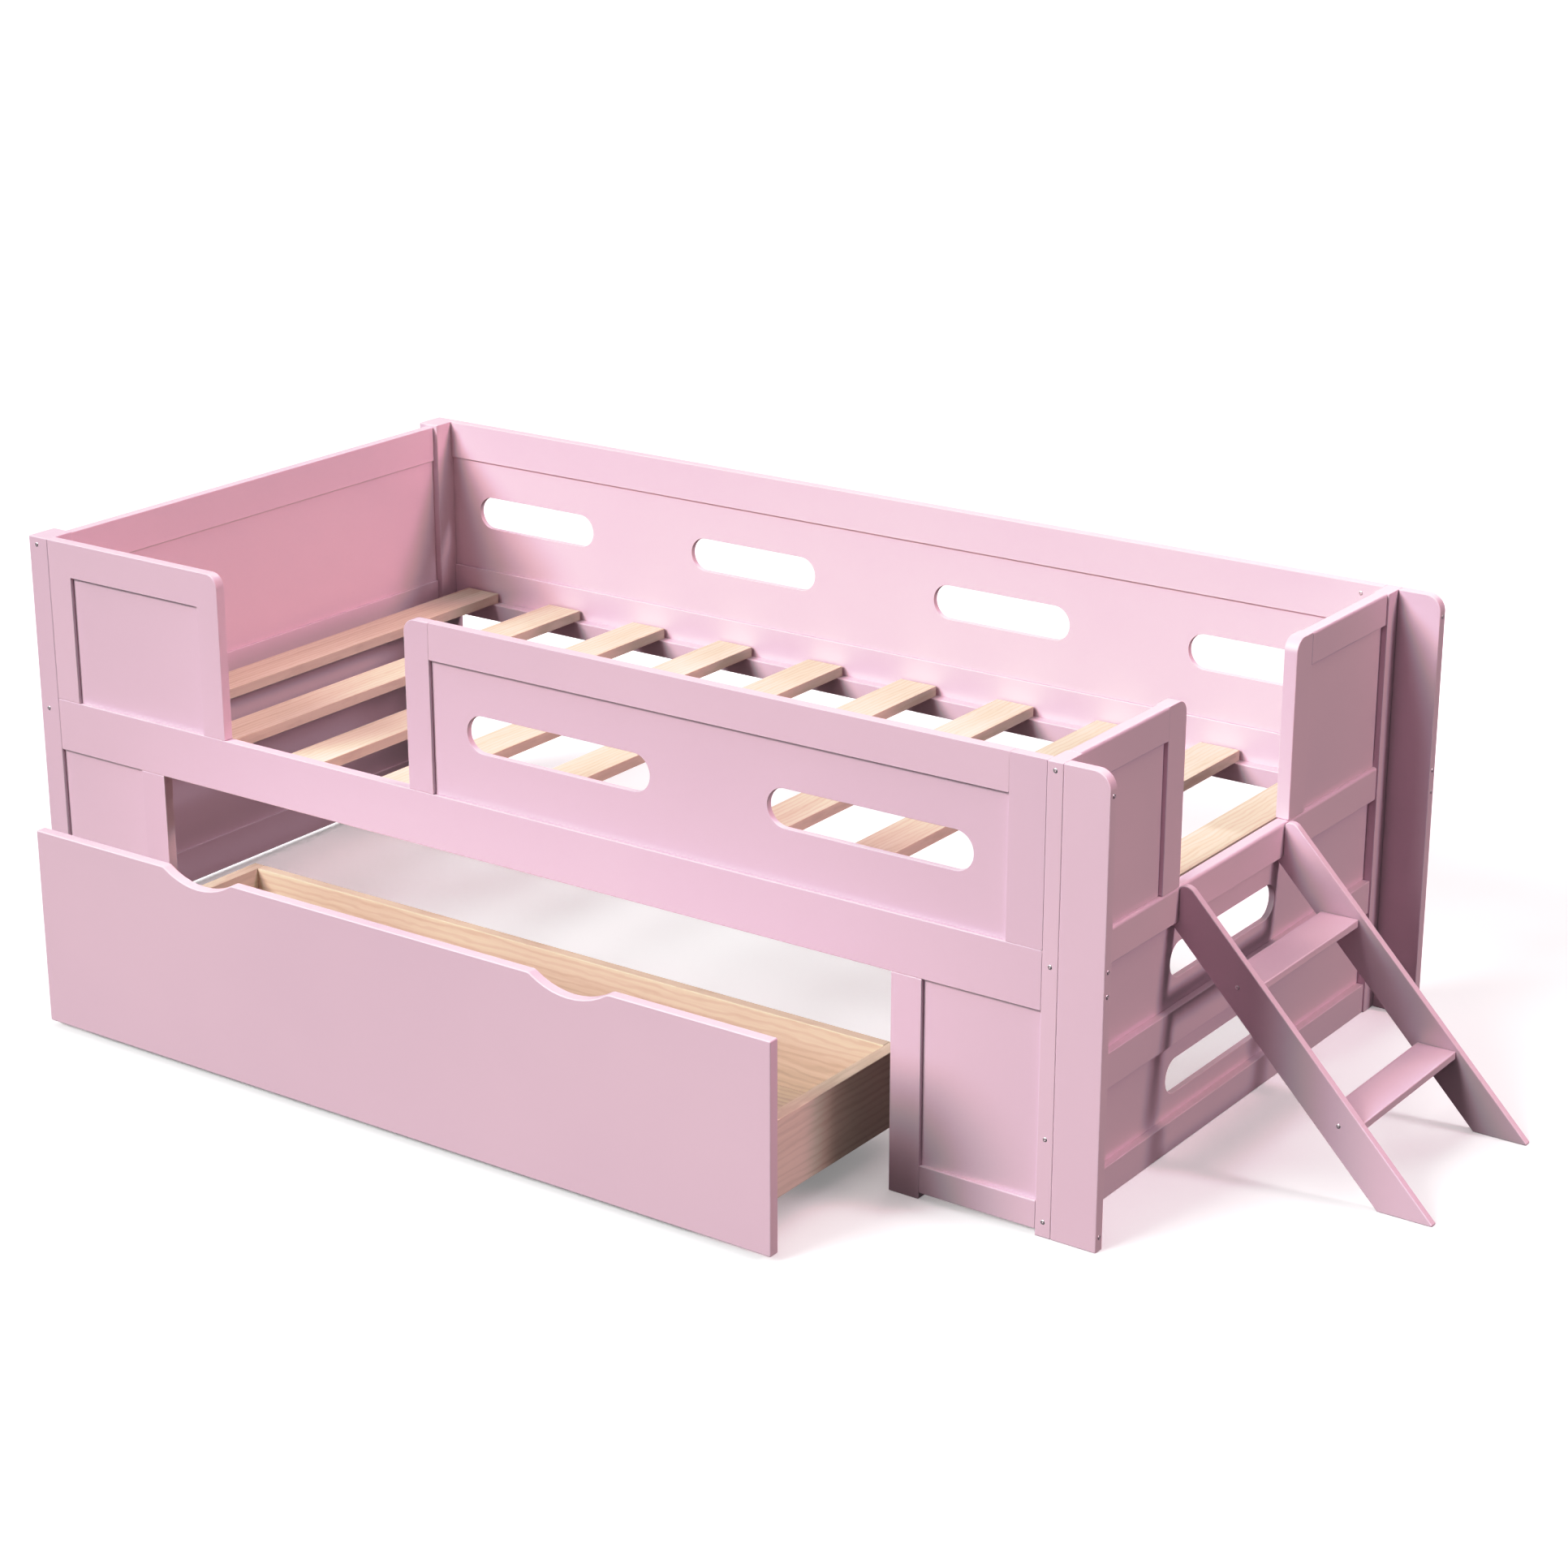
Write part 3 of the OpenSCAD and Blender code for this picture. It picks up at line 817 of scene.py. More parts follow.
@dataclass
class Assembly:
    """What the sub-assemblies share: the body they ride on and their everyday board."""

    body: str = "bed"
    corner: float = 1.8 * MM
    arris: float = 1.2 * MM
    post_arris: float = 1.6 * MM
    panel_arris: float = 0.6 * MM
    panel_corner: float = 0.8 * MM
    slotted_arris: float = 0.8 * MM
    nosed_arris: float = 0.5 * MM

    def plain(
        self, node: str, facing: Facing, grain: Grain = Grain.ACROSS, finish: Finish = PAINT,
        holes: Sequence[Ring] = (), ring: Ring | None = None, arris: float | None = None,
        corner: float | None = None,
    ) -> bpy.types.Object:
        """Makes a board that fills its node's box.

        Args:
            node: the node that it stands for, whose name it takes too.
            facing: the way its face looks.
            grain: the direction of the grain.
            finish: its finish.
            holes: rings cut through it.
            ring: its outline, where that isn't the box's own.
            arris: radius of the eased edges.
            corner: radius of the outline's corners.

        Returns:
            The board.
        """
        low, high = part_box(node)
        if ring is None:
            ring = self.outline(node, facing, (self.corner if corner is None else corner,) * 4)
        piece = Workpiece(node, finish)
        piece.board(ring, facing, (low + high) / 2, abs((high - low).dot(facing.value[2])),
                    self.arris if arris is None else arris, grain, holes)
        return piece.fit(self.body, node)

    def panel(self, node: str, facing: Facing, grain: Grain = Grain.ACROSS) -> bpy.types.Object:
        """Makes a thin panel whose edges are barely eased, since its frame covers them."""
        return self.plain(node, facing, grain, arris=self.panel_arris, corner=self.panel_corner)

    def outline(self, node: str, facing: Facing, radii: Sequence[float]) -> Ring:
        """A node's outline seen from its face.

        Args:
            node: the node.
            facing: the way its face looks.
            radii: of the lower left, lower right, upper right and upper left corner.

        Returns:
            The outline.
        """
        low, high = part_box(node)
        u, v, _ = facing.value
        return cornered(Vector((low.dot(u), low.dot(v))), Vector((high.dot(u), high.dot(v))),
                        radii)

    def nosed(self, node: str, nose: float) -> bpy.types.Object:
        """Makes a rail along Y whose two upper edges are rounded.

        Args:
            node: the node that it stands for.
            nose: radius of the upper edges.

        Returns:
            The rail.
        """
        ring = self.outline(node, Facing.FRONT, (self.corner, self.corner, nose, nose))
        return self.plain(node, Facing.FRONT, Grain.THROUGH, ring=ring, arris=self.nosed_arris)


# ---- the bed's sub-assemblies ----


@dataclass
class LeftEnd(Assembly):
    """The two left posts and the framed panels between them."""

    post_corner: float = 2.2 * MM

    def build(self) -> None:
        """Makes the posts, rails and panels."""
        for node in ("front_left_post", "back_left_post"):
            self.plain(node, Facing.TOP, Grain.THROUGH, corner=self.post_corner,
                       arris=self.post_arris)
        for node in ("left_end_top_rail", "left_end_middle_rail", "left_end_bottom_rail"):
            self.plain(node, Facing.END)
        for node in ("left_end_upper_panel", "left_end_lower_panel"):
            self.panel(node, Facing.END)


@dataclass
class FrontSide(Assembly):
    """The front rail with its two guards and the short aprons beside the drawer bay."""

    guard_corner: float = 22 * MM
    slot_length: float = 347 * MM
    slot_height: float = 60 * MM
    slot_shift: float = 5 * MM
    slot_apart: float = 558 * MM
    slot_rise: float = 5 * MM
    frame_foot: float = 1.3 * MM
    filled_arris: float = 0.45 * MM

    def build(self) -> None:
        """Makes the front's boards."""
        self.plain("front_rail", Facing.FRONT)
        self.left_guard()
        self.right_guard()
        for side in ("left", "right"):
            self.plain(f"{side}_apron_stile", Facing.FRONT, Grain.UP)
            self.plain(f"{side}_apron_rail", Facing.FRONT)
            self.panel(f"{side}_apron_panel", Facing.FRONT, Grain.UP)

    def left_guard(self) -> None:
        """Makes the short guard: a frame open below, round its panel."""
        low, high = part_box("left_guard_frame")
        inner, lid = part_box("left_guard_panel")
        foot = self.frame_foot
        ring = Ring.through([
            (low.x, low.z, foot), (inner.x, low.z, foot), (inner.x, lid.z, foot),
            (lid.x, lid.z, foot), (lid.x, low.z, foot), (high.x, low.z, foot),
            (high.x, high.z, self.guard_corner), (low.x, high.z, foot)])
        self.plain("left_guard_frame", Facing.FRONT, Grain.UP, ring=ring)
        self.panel("left_guard_panel", Facing.FRONT)

    def right_guard(self) -> None:
        """Makes the long guard, its free stile rounded and its panel slotted twice."""
        ring = self.outline("right_guard_stile", Facing.FRONT,
                            (self.corner, self.corner, self.corner, self.guard_corner))
        self.plain("right_guard_stile", Facing.FRONT, Grain.UP, ring=ring)
        self.plain("right_guard_top_rail", Facing.FRONT, arris=self.filled_arris)
        self.plain("right_guard_end_stile", Facing.FRONT, Grain.UP, arris=self.filled_arris)
        low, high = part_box("right_guard_panel")
        middle = (low + high) / 2
        holes = [slot_hole(Vector((middle.x + self.slot_shift + side * self.slot_apart / 2,
                                   middle.z + self.slot_rise)),
                           self.slot_length, self.slot_height) for side in (-1, 1)]
        self.plain("right_guard_panel", Facing.FRONT, holes=holes, arris=self.slotted_arris)


@dataclass
class BackSide(Assembly):
    """The tall back: two rails and a panel with four slots."""

    slot_length: float = 269 * MM
    slot_height: float = 60 * MM
    slot_places: tuple[float, ...] = (-754 * MM, -259 * MM, 259 * MM, 754 * MM)
    slot_middle: float = -4 * MM
    slot_rise: float = 7 * MM

    def build(self) -> None:
        """Makes the back's boards."""
        self.plain("back_top_rail", Facing.FRONT)
        self.plain("back_bottom_rail", Facing.FRONT)
        low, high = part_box("back_panel")
        middle = (low + high) / 2
        holes = [slot_hole(Vector((middle.x + self.slot_middle + place,
                                   middle.z + self.slot_rise)),
                           self.slot_length, self.slot_height) for place in self.slot_places]
        self.plain("back_panel", Facing.FRONT, holes=holes, arris=self.slotted_arris)


@dataclass
class RightEnd(Assembly):
    """The end that carries the ladder: frame, slotted panels, guards and wings."""

    slot_length: float = 324 * MM
    slot_height: float = 56 * MM
    slot_shift: float = -8 * MM
    nose: float = 5 * MM
    guard_corner: float = 22 * MM
    wing_corner: float = 27 * MM
    stile_arris: float = 1.4 * MM

    def build(self) -> None:
        """Makes the end's boards."""
        for node in ("end_front_stile", "end_back_stile"):
            self.plain(node, Facing.END, Grain.UP, arris=self.stile_arris)
        self.nosed("end_bed_rail", self.nose)
        self.plain("end_middle_rail", Facing.END)
        self.plain("end_bottom_rail", Facing.END)
        for node in ("end_upper_panel", "end_lower_panel"):
            self.slotted_panel(node)
        for side in ("front", "rear"):
            self.nosed(f"end_guard_{side}_rail", self.nose)
            self.panel(f"end_guard_{side}_panel", Facing.END, Grain.UP)
            self.opening_stile(f"end_guard_{side}_stile", toward_rear=side == "front")
        for node in ("front_wing", "back_wing"):
            self.wing(node)

    def slotted_panel(self, node: str) -> None:
        """Makes a panel with one slot along it.

        Args:
            node: the node that it stands for.
        """
        low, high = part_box(node)
        middle = (low + high) / 2
        hole = slot_hole(Vector((middle.y + self.slot_shift, middle.z)),
                         self.slot_length, self.slot_height)
        self.plain(node, Facing.END, holes=[hole], arris=self.slotted_arris)

    def opening_stile(self, node: str, toward_rear: bool) -> None:
        """Makes a stile beside the ladder opening, rounded on the opening's side.

        Args:
            node: the node that it stands for.
            toward_rear: true where the opening is on its rear side.
        """
        rear, front = self.guard_corner, self.corner
        if not toward_rear:
            rear, front = front, rear
        ring = self.outline(node, Facing.END, (self.corner, self.corner, rear, front))
        self.plain(node, Facing.END, Grain.UP, ring=ring, arris=self.post_arris)

    def wing(self, node: str) -> None:
        """Makes a wing with its free upper corner rounded.

        Args:
            node: the node that it stands for.
        """
        ring = self.outline(node, Facing.FRONT,
                            (self.corner, self.corner, self.wing_corner, self.corner))
        self.plain(node, Facing.FRONT, Grain.UP, ring=ring, arris=self.post_arris)


@dataclass
class SlatBase(Assembly):
    """The two ledges and the loose slats on them."""

    slat_width: float = 73 * MM
    slat_count: int = 10
    slat_arris: float = 0.8 * MM
    slat_corner: float = 1.2 * MM

    def build(self) -> None:
        """Makes the ledges and the row of slats."""
        self.plain("front_ledge", Facing.FRONT)
        self.plain("back_ledge", Facing.FRONT)
        low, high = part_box("slats")
        step = (high.x - low.x - self.slat_width) / (self.slat_count - 1)
        piece = Workpiece("slats", SLAT_WOOD)
        for k in range(self.slat_count):
            start = low.x + k * step
            ring = rectangle(Vector((start, low.y)), Vector((start + self.slat_width, high.y)),
                             self.slat_corner)
            piece.board(ring, Facing.TOP, (low + high) / 2, high.z - low.z, self.slat_arris,
                        Grain.UP)
        piece.fit(self.body, "slats")


@dataclass
class Ladder(Assembly):
    """Two sloping stringers hooked over the bed rail, and two treads."""

    slope: float = math.radians(46)
    foot: float = 88 * MM
    head_corner: float = 18 * MM
    rest_corner: float = 8 * MM
    foot_corner: float = 2.0 * MM
    tread_arris: float = 2.2 * MM
    tread_corner: float = 2.4 * MM

    def build(self) -> None:
        """Makes the stringers and treads."""
        for side in ("front", "rear"):
            self.stringer(f"ladder_{side}_stringer")
        for node in ("ladder_upper_tread", "ladder_lower_tread"):
            self.plain(node, Facing.TOP, Grain.UP, arris=self.tread_arris,
                       corner=self.tread_corner)

    def stringer(self, node: str) -> None:
        """Makes a stringer: a sloping board, plumb at the rail, with a notch under it.

        Args:
            node: the node that it stands for.
        """
        low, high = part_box(node)
        fall = math.tan(self.slope)
        rail_low, rail_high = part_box("end_bed_rail")
        rail_face, rail_foot = rail_high.x, rail_low.z
        toe, heel = high.x, high.x - self.foot
        small = self.foot_corner
        ring = Ring.through([
            (heel, low.z, small), (toe, low.z, small),
            (toe - high.z / fall, high.z, self.head_corner),
            (rail_face, high.z, self.rest_corner), (rail_face, rail_foot, small),
            (low.x, rail_foot, small), (low.x, (heel - low.x) * fall, small)])
        self.plain(node, Facing.FRONT, ring=ring, arris=self.post_arris)


@dataclass
class Drawer(Assembly):
    """The wide drawer: painted front with two hand cut-outs, and a plain wood box."""

    body: str = "drawer"
    grip_places: tuple[float, ...] = (-360.25 * MM, 359.75 * MM)
    grip_radius: float = 125 * MM
    grip_depth: float = 22 * MM
    grip_blend: float = 12 * MM
    front_arris: float = 2.0 * MM
    front_corner: float = 2.6 * MM
    bottom_arris: float = 0.4 * MM
    bottom_corner: float = 0.6 * MM

    def build(self) -> None:
        """Makes the drawer's boards."""
        self.front()
        for node in ("drawer_left_side", "drawer_right_side"):
            self.plain(node, Facing.END, finish=DRAWER_WOOD)
        self.plain("drawer_back", Facing.FRONT, finish=DRAWER_WOOD)
        self.plain("drawer_bottom", Facing.TOP, finish=DRAWER_WOOD, arris=self.bottom_arris,
                   corner=self.bottom_corner)

    def front(self) -> None:
        """Makes the front, whose top edge dips in a soft round cut-out for each hand."""
        low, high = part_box("drawer_front")
        middle = (low.x + high.x) / 2
        corner = self.front_corner
        down, right, up, left = (Vector(d) for d in ((0, -1), (1, 0), (0, 1), (-1, 0)))
        ring = Ring()
        ring.bend(Vector((low.x + corner, low.z + corner)), corner, left, down)
        ring.bend(Vector((high.x - corner, low.z + corner)), corner, down, right)
        ring.bend(Vector((high.x - corner, high.z - corner)), corner, right, up)
        for place in sorted(self.grip_places, reverse=True):
            self.grip(ring, Vector((middle + place, high.z)))
        ring.bend(Vector((low.x + corner, high.z - corner)), corner, up, left)
        self.plain("drawer_front", Facing.FRONT, ring=ring.close(), arris=self.front_arris)

    def grip(self, ring: Ring, rim: Vector) -> None:
        """Adds one cut-out to the top edge, from right to left.

        Args:
            ring: the outline so far.
            rim: the point of the straight edge over the cut-out's middle.
        """
        up = Vector((0, 1))
        core = rim + up * (self.grip_radius - self.grip_depth)
        reach = self.grip_radius + self.grip_blend
        drop = core.y - rim.y + self.grip_blend
        half = math.sqrt(reach * reach - drop * drop)
        for side in (1, -1):
            knee = rim + Vector((side * half, -self.grip_blend))
            lean = (core - knee).normalized()
            if side > 0:
                ring.bend(knee, self.grip_blend, up, lean)
                far = Vector((-lean.x, lean.y))
                ring.bend(core, self.grip_radius, lean, far, hollow=True)
            else:
                ring.bend(knee, self.grip_blend, lean, up)


@dataclass
class Casters(Assembly):
    """Four fixed casters: pressed brackets and axles on the drawer, and their wheels."""

    body: str = "drawer"
    plate: float = 2 * MM
    plate_size: Point = (48 * MM, 40 * MM)
    cheek_width: float = 24 * MM
    cheek_foot: float = 9 * MM
    wheel_gap: float = 1 * MM
    plate_corner: float = 4 * MM
    pressed_arris: float = 0.4 * MM
    axle_radius: float = 2.5 * MM
    axle_bevel: float = 0.5 * MM
    axle_play: float = 0.05 * MM
    hole: float = 2.2 * MM
    hole_spread: Point = (0.72, 0.7)
    cheek_round: float = 0.7
    hub_radius: float = 5.2 * MM
    dish: float = 2.6 * MM
    rim: float = 4.6 * MM

    def build(self) -> None:
        """Makes the brackets, axles and wheels."""
        wheels = [f"wheel_{row}_{side}" for row in ("front", "back") for side in ("left", "right")]
        boxes = {node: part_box(node) for node in wheels}
        brackets = Workpiece("caster_brackets", ZINC)
        axles = Workpiece("caster_axles", ZINC)
        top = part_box("caster_brackets")[1].z
        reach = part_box("caster_axles")[1].x - boxes["wheel_back_right"][1].x
        for node, (low, high) in boxes.items():
            hub, width = (low + high) / 2, high.x - low.x
            self.bracket(brackets, hub, width, top)
            self.axle(axles, hub, width / 2 + reach)
            self.wheel(node, hub, width, (high.z - low.z) / 2)
        brackets.fit(self.body, "caster_brackets")
        axles.fit(self.body, "caster_axles")

    def axle(self, piece: Workpiece, hub: Vector, end: float) -> None:
        """Adds one axle with bevelled ends.

        Args:
            piece: the piece that gathers the axles.
            hub: the wheel's middle.
            end: how far it reaches on each side.
        """
        radius, bevel = self.axle_radius, self.axle_bevel
        piece.turned([(0, -end), (radius - bevel, -end), (radius, bevel - end),
                      (radius, end - bevel), (radius - bevel, end), (0, end)], hub, X)

    def bracket(self, piece: Workpiece, hub: Vector, wheel: float, top: float) -> None:
        """Adds one bracket: a drilled plate with a cheek on each side of the wheel.

        Args:
            piece: the piece that gathers the brackets.
            hub: the wheel's middle.
            wheel: the wheel's width.
            top: height of the plate's upper face.
        """
        half = Vector(self.plate_size) / 2
        corners = [Vector((hub.x + a * half.x, hub.y + b * half.y))
                   for a, b in ((-1, -1), (1, 1))]
        over, up = self.hole_spread
        holes = [round_hole(Vector((hub.x + a * over * half.x, hub.y + b * up * half.y)),
                            self.hole) for a in (-1, 1) for b in (-1, 1)]
        piece.board(rectangle(corners[0], corners[1], self.plate_corner), Facing.TOP,
                    Vector((hub.x, hub.y, top - self.plate / 2)), self.plate,
                    self.pressed_arris, holes=holes)
        wide = self.cheek_width / 2
        crown = top - self.plate + 0.5 * MM
        foot = self.cheek_round * wide
        ring = cornered(Vector((hub.y - wide, self.cheek_foot)), Vector((hub.y + wide, crown)),
                        (foot, foot, MM, MM))
        bore = round_hole(Vector((hub.y, hub.z)), self.axle_radius + self.axle_play)
        for side in (-1, 1):
            offset = side * (wheel / 2 + self.wheel_gap + self.plate / 2)
            piece.board(ring, Facing.END, Vector((hub.x + offset, hub.y, hub.z)), self.plate,
                        self.pressed_arris, Grain.UP, [bore])

    def wheel(self, node: str, hub: Vector, width: float, radius: float) -> None:
        """Makes a wheel with a crowned tread, dished sides and a hub.

        Args:
            node: the node that it stands for.
            hub: its middle.
            width: its width.
            radius: its radius.
        """
        half, bore = width / 2, self.axle_radius + self.axle_play
        hub_edge, floor = self.hub_radius, half - self.dish
        side = [(bore, half), (hub_edge, half), (hub_edge + 0.6 * MM, half - 0.6 * MM),
                (hub_edge + 1.2 * MM, floor), (radius - self.rim, floor),
                (radius - 3.8 * MM, half - 0.8 * MM), (radius - 3.0 * MM, half - 0.3 * MM),
                (radius - 1.2 * MM, half - 0.6 * MM), (radius - 0.4 * MM, half - 1.6 * MM),
                (radius, half - 3.4 * MM)]
        outline = [(r, -h) for r, h in side] + [(r, h) for r, h in reversed(side)]
        piece = Workpiece(node, NYLON)
        piece.turned(outline, hub, X, sides=64, closed=True)
        piece.fit(node, node)


@dataclass
class Fasteners(Assembly):
    """Domed screws with a six-sided socket, in three groups."""

    head: float = 3.4 * MM
    rise: float = 0.9 * MM
    shank: float = 1.9 * MM
    frame_length: float = 30 * MM
    drawer_length: float = 40 * MM
    frame_heights: tuple[float, ...] = (24 * MM, 151 * MM, 409 * MM, 692 * MM)
    wing_heights: tuple[float, ...] = (22 * MM, 383 * MM, 419 * MM, 671 * MM)
    drawer_heights: tuple[float, ...] = (75 * MM, 135 * MM)
    post_inset: float = 18.5 * MM
    rail_length: float = 14 * MM
    rail_inset: Point = (38 * MM, 17 * MM)

    def screw(self, piece: Workpiece, seat: Vector, out: Vector, length: float) -> None:
        """Adds a screw.

        Args:
            piece: the piece that gathers the screws.
            seat: the point on the board's face under the head.
            out: the direction that the head looks.
            length: how far the shank goes in.
        """
        head, rise, shank = self.head, self.rise, self.shank
        tip = [(0, -length), (0.4 * shank, 0.8 * MM - length), (shank, 3 * MM - length)]
        dome = [(shank, 0), (head, 0), (head, 0.25 * rise), (0.93 * head, 0.55 * rise),
                (0.78 * head, 0.82 * rise), (0.60 * head, rise)]
        socket = [(0.46 * head, rise), (0.42 * head, 0.8 * rise), (0.42 * head, -0.5 * rise),
                  (0, -0.8 * rise)]

        def six_sided(step: int, angle: float) -> float:
            """Radius factor of a six-sided socket, round for the steps outside it.

            Args:
                step: number of the outline's step.
                angle: the angle round the screw.

            Returns:
                The factor.
            """
            if step < len(tip) + len(dome):
                return 1.0
            sixth = math.pi / 3
            return math.cos(sixth / 2) / math.cos((angle % sixth) - sixth / 2)

        piece.turned(tip + dome + socket, seat, out, shape=six_sided)

    def build(self) -> None:
        """Makes the frame's, ladder's and drawer's screws."""
        self.frame()
        self.ladder()
        self.drawer()

    def frame(self) -> None:
        """Makes the screws of the posts, the end stiles, the back's top rail and the wings."""
        piece = Workpiece("frame_screws", ZINC)
        front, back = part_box("front_left_post")[0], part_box("back_left_post")[1]
        stile_low, stile_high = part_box("end_front_stile")
        for x in (front.x + self.post_inset, (stile_low.x + stile_high.x) / 2):
            for z in self.frame_heights:
                self.screw(piece, Vector((x, front.y, z)), -Y, self.frame_length)
                self.screw(piece, Vector((x, back.y, z)), Y, self.frame_length)
        low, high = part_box("back_top_rail")
        seat = Vector((high.x - self.rail_inset[0], low.y, high.z - self.rail_inset[1]))
        self.screw(piece, seat, -Y, self.rail_length)
        for node in ("front_wing", "back_wing"):
            low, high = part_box(node)
            for z in self.wing_heights:
                seat = Vector((high.x, (low.y + high.y) / 2, z))
                self.screw(piece, seat, X, self.frame_length)
        piece.fit("bed", piece.name)

    def ladder(self) -> None:
        """Makes the screws through the stringers into the treads."""
        piece = Workpiece("ladder_screws", ZINC)
        for node in ("ladder_upper_tread", "ladder_lower_tread"):
            low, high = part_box(node)
            middle = (low + high) / 2
            for side, out, face in (("front", -Y, 0), ("rear", Y, 1)):
                seat = Vector((middle.x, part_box(f"ladder_{side}_stringer")[face].y, middle.z))
                self.screw(piece, seat, out, self.frame_length)
        piece.fit("bed", piece.name)

    def drawer(self) -> None:
        """Makes the screws through the drawer's sides into its back."""
        piece = Workpiece("drawer_screws", ZINC)
        low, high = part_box("drawer_back")
        for side, out, face in (("left", -X, 0), ("right", X, 1)):
            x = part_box(f"drawer_{side}_side")[face].x
            for z in self.drawer_heights:
                self.screw(piece, Vector((x, (low.y + high.y) / 2, z)), out,
                           self.drawer_length)
        piece.fit("drawer", piece.name)


@dataclass(frozen=True)
class Lamp:
    """One far, soft light: where it shines from, its strength, how wide it looks, its colour."""

    name: str
    place: Triple
    power: float
    width: float
    colour: Colour = (1.0, 1.0, 1.0)

    def hang(self, far: float) -> None:
        """Hangs the light up.

        Args:
            far: how far from the middle of the studio.
        """
        lamp = bpy.data.lights.new(self.name, "SUN")
        lamp.energy, lamp.angle, lamp.color = self.power, self.width, self.colour
        stand = bpy.data.objects.new(self.name, lamp)
        stand.location = Vector(self.place).normalized() * far
        stand.rotation_mode = "QUATERNION"
        stand.rotation_quaternion = stand.location.to_track_quat("Z", "Y")
        bpy.context.scene.collection.objects.link(stand)


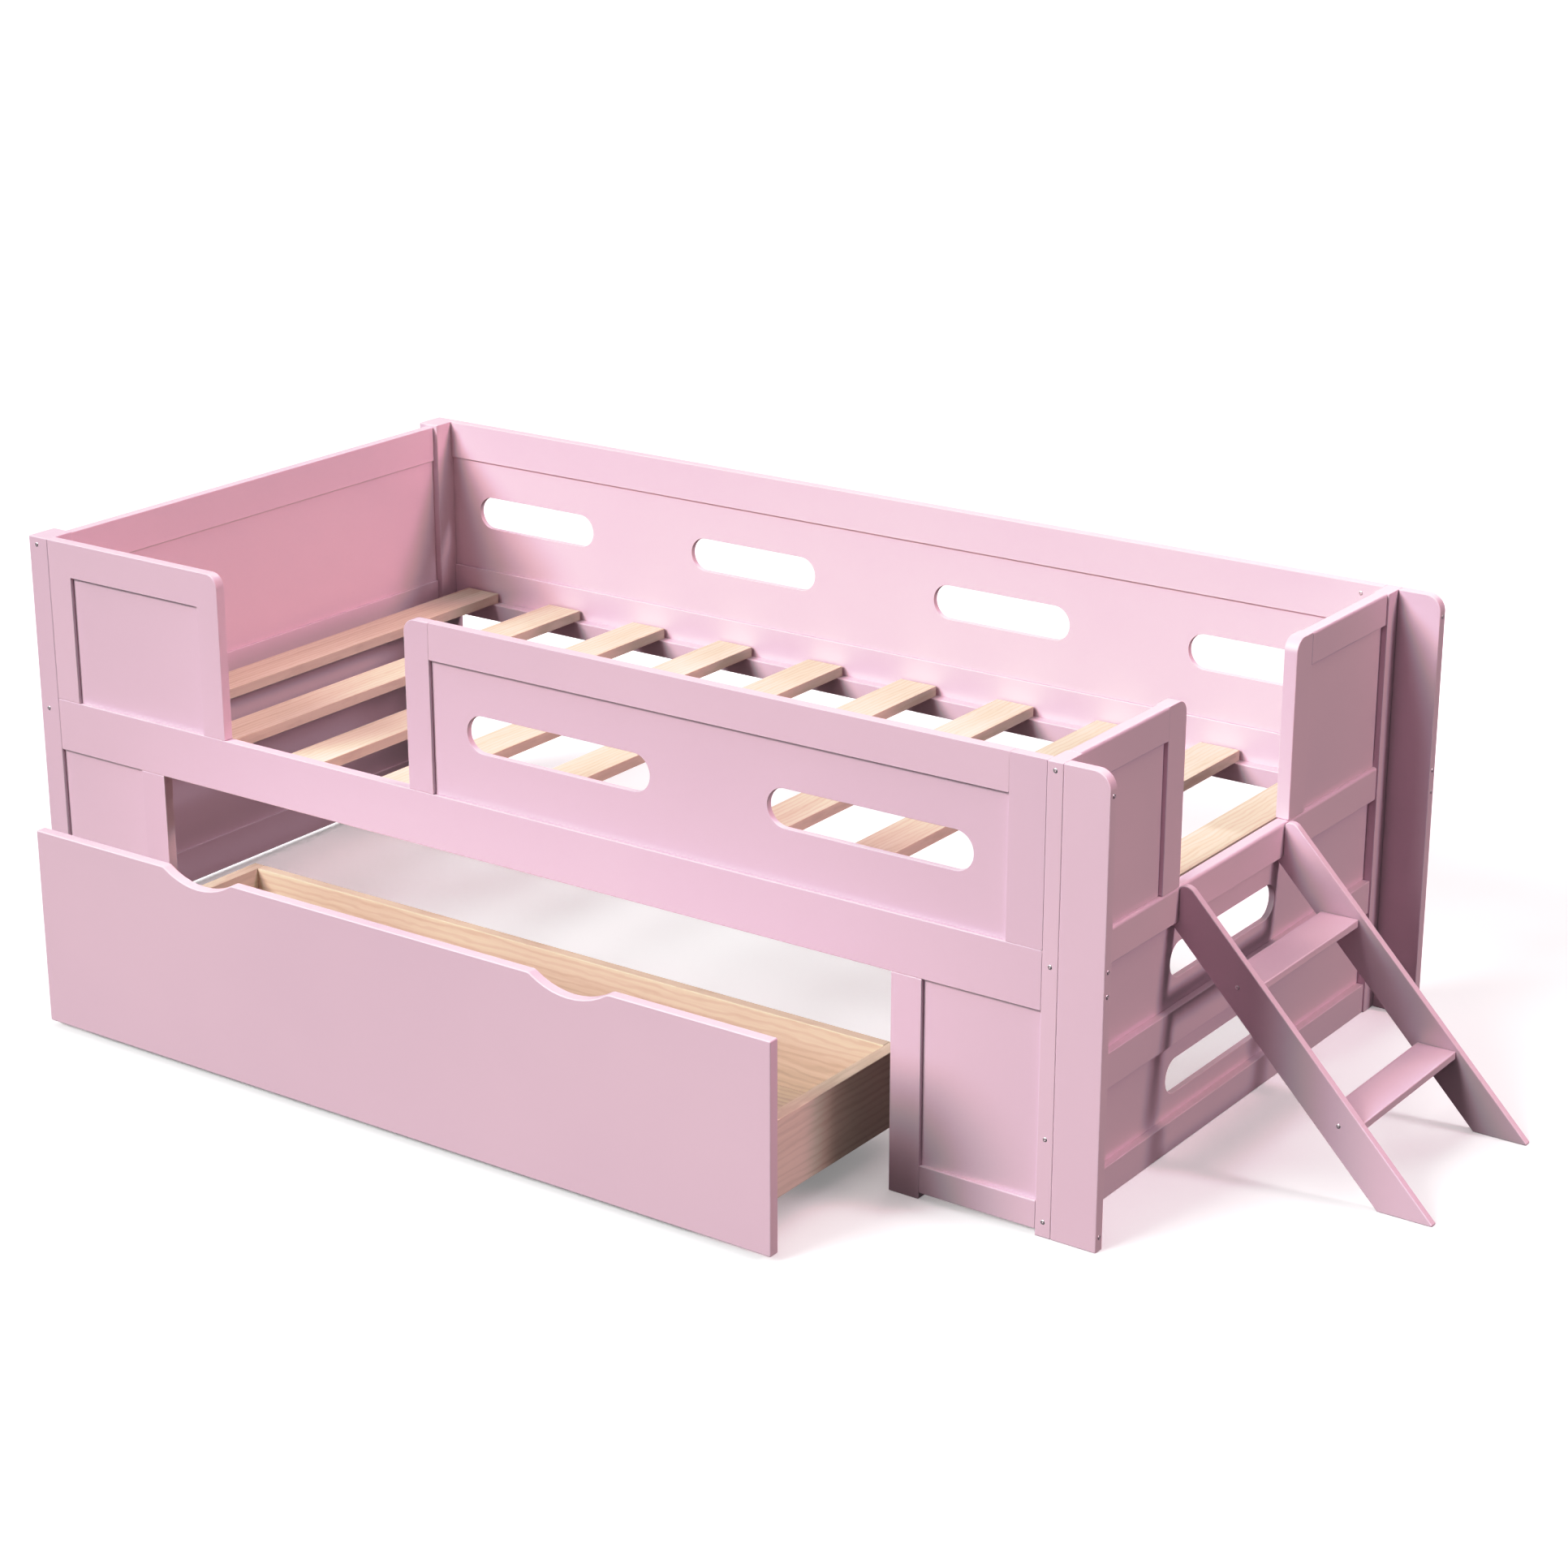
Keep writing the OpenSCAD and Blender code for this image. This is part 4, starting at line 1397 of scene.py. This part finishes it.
@dataclass
class Studio:
    """The pale floor and backdrop, the soft lights and the camera."""

    floor_half: float = 120.0
    wall_far: float = 100.0
    wall_high: float = 90.0
    wall_bend: float = 12.0
    wall_parts: int = 96
    bend_parts: int = 8
    sight: float = 500.0
    azimuth: float = math.radians(35.345)
    drop: float = math.radians(19.5)
    distance: float = 5.5
    aim_off: Triple = (-0.068, 0.180, -0.010)
    lens: float = 77.70
    sensor: float = 36.0
    sky: Colour = (0.22, 0.19, 0.198)
    ground: Colour = (0.03, 0.027, 0.028)
    fade: Point = (-0.35, -0.03)
    lamps: tuple[Lamp, ...] = (
        Lamp("key_light", (-0.46, -1.0, 0.73), 3.48, math.radians(28), (1.0, 0.995, 0.995)),
        Lamp("top_light", (0.10, 0.0, 1.0), 0.72, math.radians(70), (1.0, 0.98, 0.985)),
        Lamp("side_light", (0.30, 0.06, 0.16), 1.68, math.radians(11), (1.0, 0.74, 0.80)),
        Lamp("rear_light", (-0.05, 0.30, 0.17), 1.10, math.radians(40), (1.0, 0.94, 0.95)))
    tones: tuple[Point, ...] = ((0.1, 0.052), (0.2, 0.13), (0.3, 0.22), (0.4, 0.29),
                                (0.5, 0.395), (0.65, 0.565), (0.8, 0.78))
    brightest: float = 0.96

    def build(self) -> None:
        """Sets up the whole studio."""
        self.floor()
        self.backdrop()
        for lamp in self.lamps:
            lamp.hang(self.distance)
        self.surroundings()
        self.develop()
        self.camera()

    def surroundings(self) -> None:
        """Makes the even sky, which fades out below the horizon."""
        world = bpy.data.worlds.new("studio")
        world.use_nodes = True
        tree = world.node_tree
        place = tree.nodes.new("ShaderNodeTexCoord")
        split = tree.nodes.new("ShaderNodeSeparateXYZ")
        ramp = tree.nodes.new("ShaderNodeMapRange")
        ramp.inputs["From Min"].default_value, ramp.inputs["From Max"].default_value = self.fade
        mix = tree.nodes.new("ShaderNodeMix")
        mix.data_type = "RGBA"
        mix.inputs[6].default_value = (*self.ground, 1.0)
        mix.inputs[7].default_value = (*self.sky, 1.0)
        tree.links.new(place.outputs["Generated"], split.inputs[0])
        tree.links.new(split.outputs["Z"], ramp.inputs["Value"])
        tree.links.new(ramp.outputs["Result"], mix.inputs["Factor"])
        tree.links.new(mix.outputs[2], tree.nodes["Background"].inputs["Color"])
        bpy.context.scene.world = world

    def develop(self) -> None:
        """Sets a plain tone curve with a little contrast in the shades."""
        view = bpy.context.scene.view_settings
        view.view_transform, view.use_curve_mapping = "Standard", True
        curve = view.curve_mapping.curves[ALL_CHANNELS]
        curve.points[-1].location = (1.0, self.brightest)
        for tone in self.tones:
            curve.points.new(*tone)
        view.curve_mapping.update()

    def floor(self) -> None:
        """Lays the floor under the bed."""
        half = self.floor_half
        corners = [(-half, -half, 0), (half, -half, 0), (half, half, 0), (-half, half, 0)]
        self.stand("floor", corners, [(0, 1, 2, 3)], FLOOR)

    def backdrop(self) -> None:
        """Stands a bright round wall with a bent foot far off on all sides."""
        count, bends = self.wall_parts, self.bend_parts
        turns = [math.pi / 2 * step / bends for step in range(bends + 1)]
        outline = [(self.wall_far - self.wall_bend * (1 - math.sin(turn)),
                    self.wall_bend * (1 - math.cos(turn))) for turn in turns]
        outline.append((self.wall_far, self.wall_high))
        points = [(far * math.cos(math.tau * part / count),
                   far * math.sin(math.tau * part / count), high)
                  for far, high in outline for part in range(count)]
        faces = [(row + part, row + (part + 1) % count,
                  row + count + (part + 1) % count, row + count + part)
                 for row in range(0, (len(outline) - 1) * count, count)
                 for part in range(count)]
        wall = self.stand("backdrop", points, faces, BACKDROP)
        wall.visible_shadow = False

    def stand(self, name: str, points: list[Triple], faces: list[tuple[int, ...]],
              finish: Finish) -> bpy.types.Object:
        """Puts one surface of the studio in place, without its glow on the bed.

        Args:
            name: the surface's name.
            points: its corners, metres.
            faces: its faces, as indices of corners.
            finish: what it's covered with.

        Returns:
            The surface.
        """
        mesh = bpy.data.meshes.new(name)
        mesh.from_pydata(points, [], faces)
        mesh.materials.append(finish.material())
        surface = bpy.data.objects.new(name, mesh)
        bpy.context.scene.collection.objects.link(surface)
        surface.visible_diffuse = surface.visible_glossy = False
        return surface

    def camera(self) -> None:
        """Stands the camera at the front right, looking a little down at the bed."""
        data = bpy.data.cameras.new("camera")
        data.lens, data.sensor_width = self.lens, self.sensor
        data.clip_end = self.sight
        camera = bpy.data.objects.new("camera", data)
        aim = (cad_box[0] + cad_box[1]) / 2 + Vector(self.aim_off)
        back = Vector((math.sin(self.azimuth) * math.cos(self.drop),
                       -math.cos(self.azimuth) * math.cos(self.drop), math.sin(self.drop)))
        camera.location = aim + back * self.distance
        camera.rotation_mode = "QUATERNION"
        camera.rotation_quaternion = (-back).to_track_quat("-Z", "Y")
        bpy.context.scene.collection.objects.link(camera)
        bpy.context.scene.camera = camera


def main() -> None:
    """Builds the bed's sub-assemblies in order, then the studio round them."""
    logging.basicConfig(level=logging.INFO, format="%(name)s: %(message)s")
    for part in (LeftEnd(), FrontSide(), BackSide(), RightEnd(), SlatBase(), Ladder(),
                 Drawer(), Casters(), Fasteners()):
        part.build()
    Studio().build()


if __name__ == "__main__":
    main()
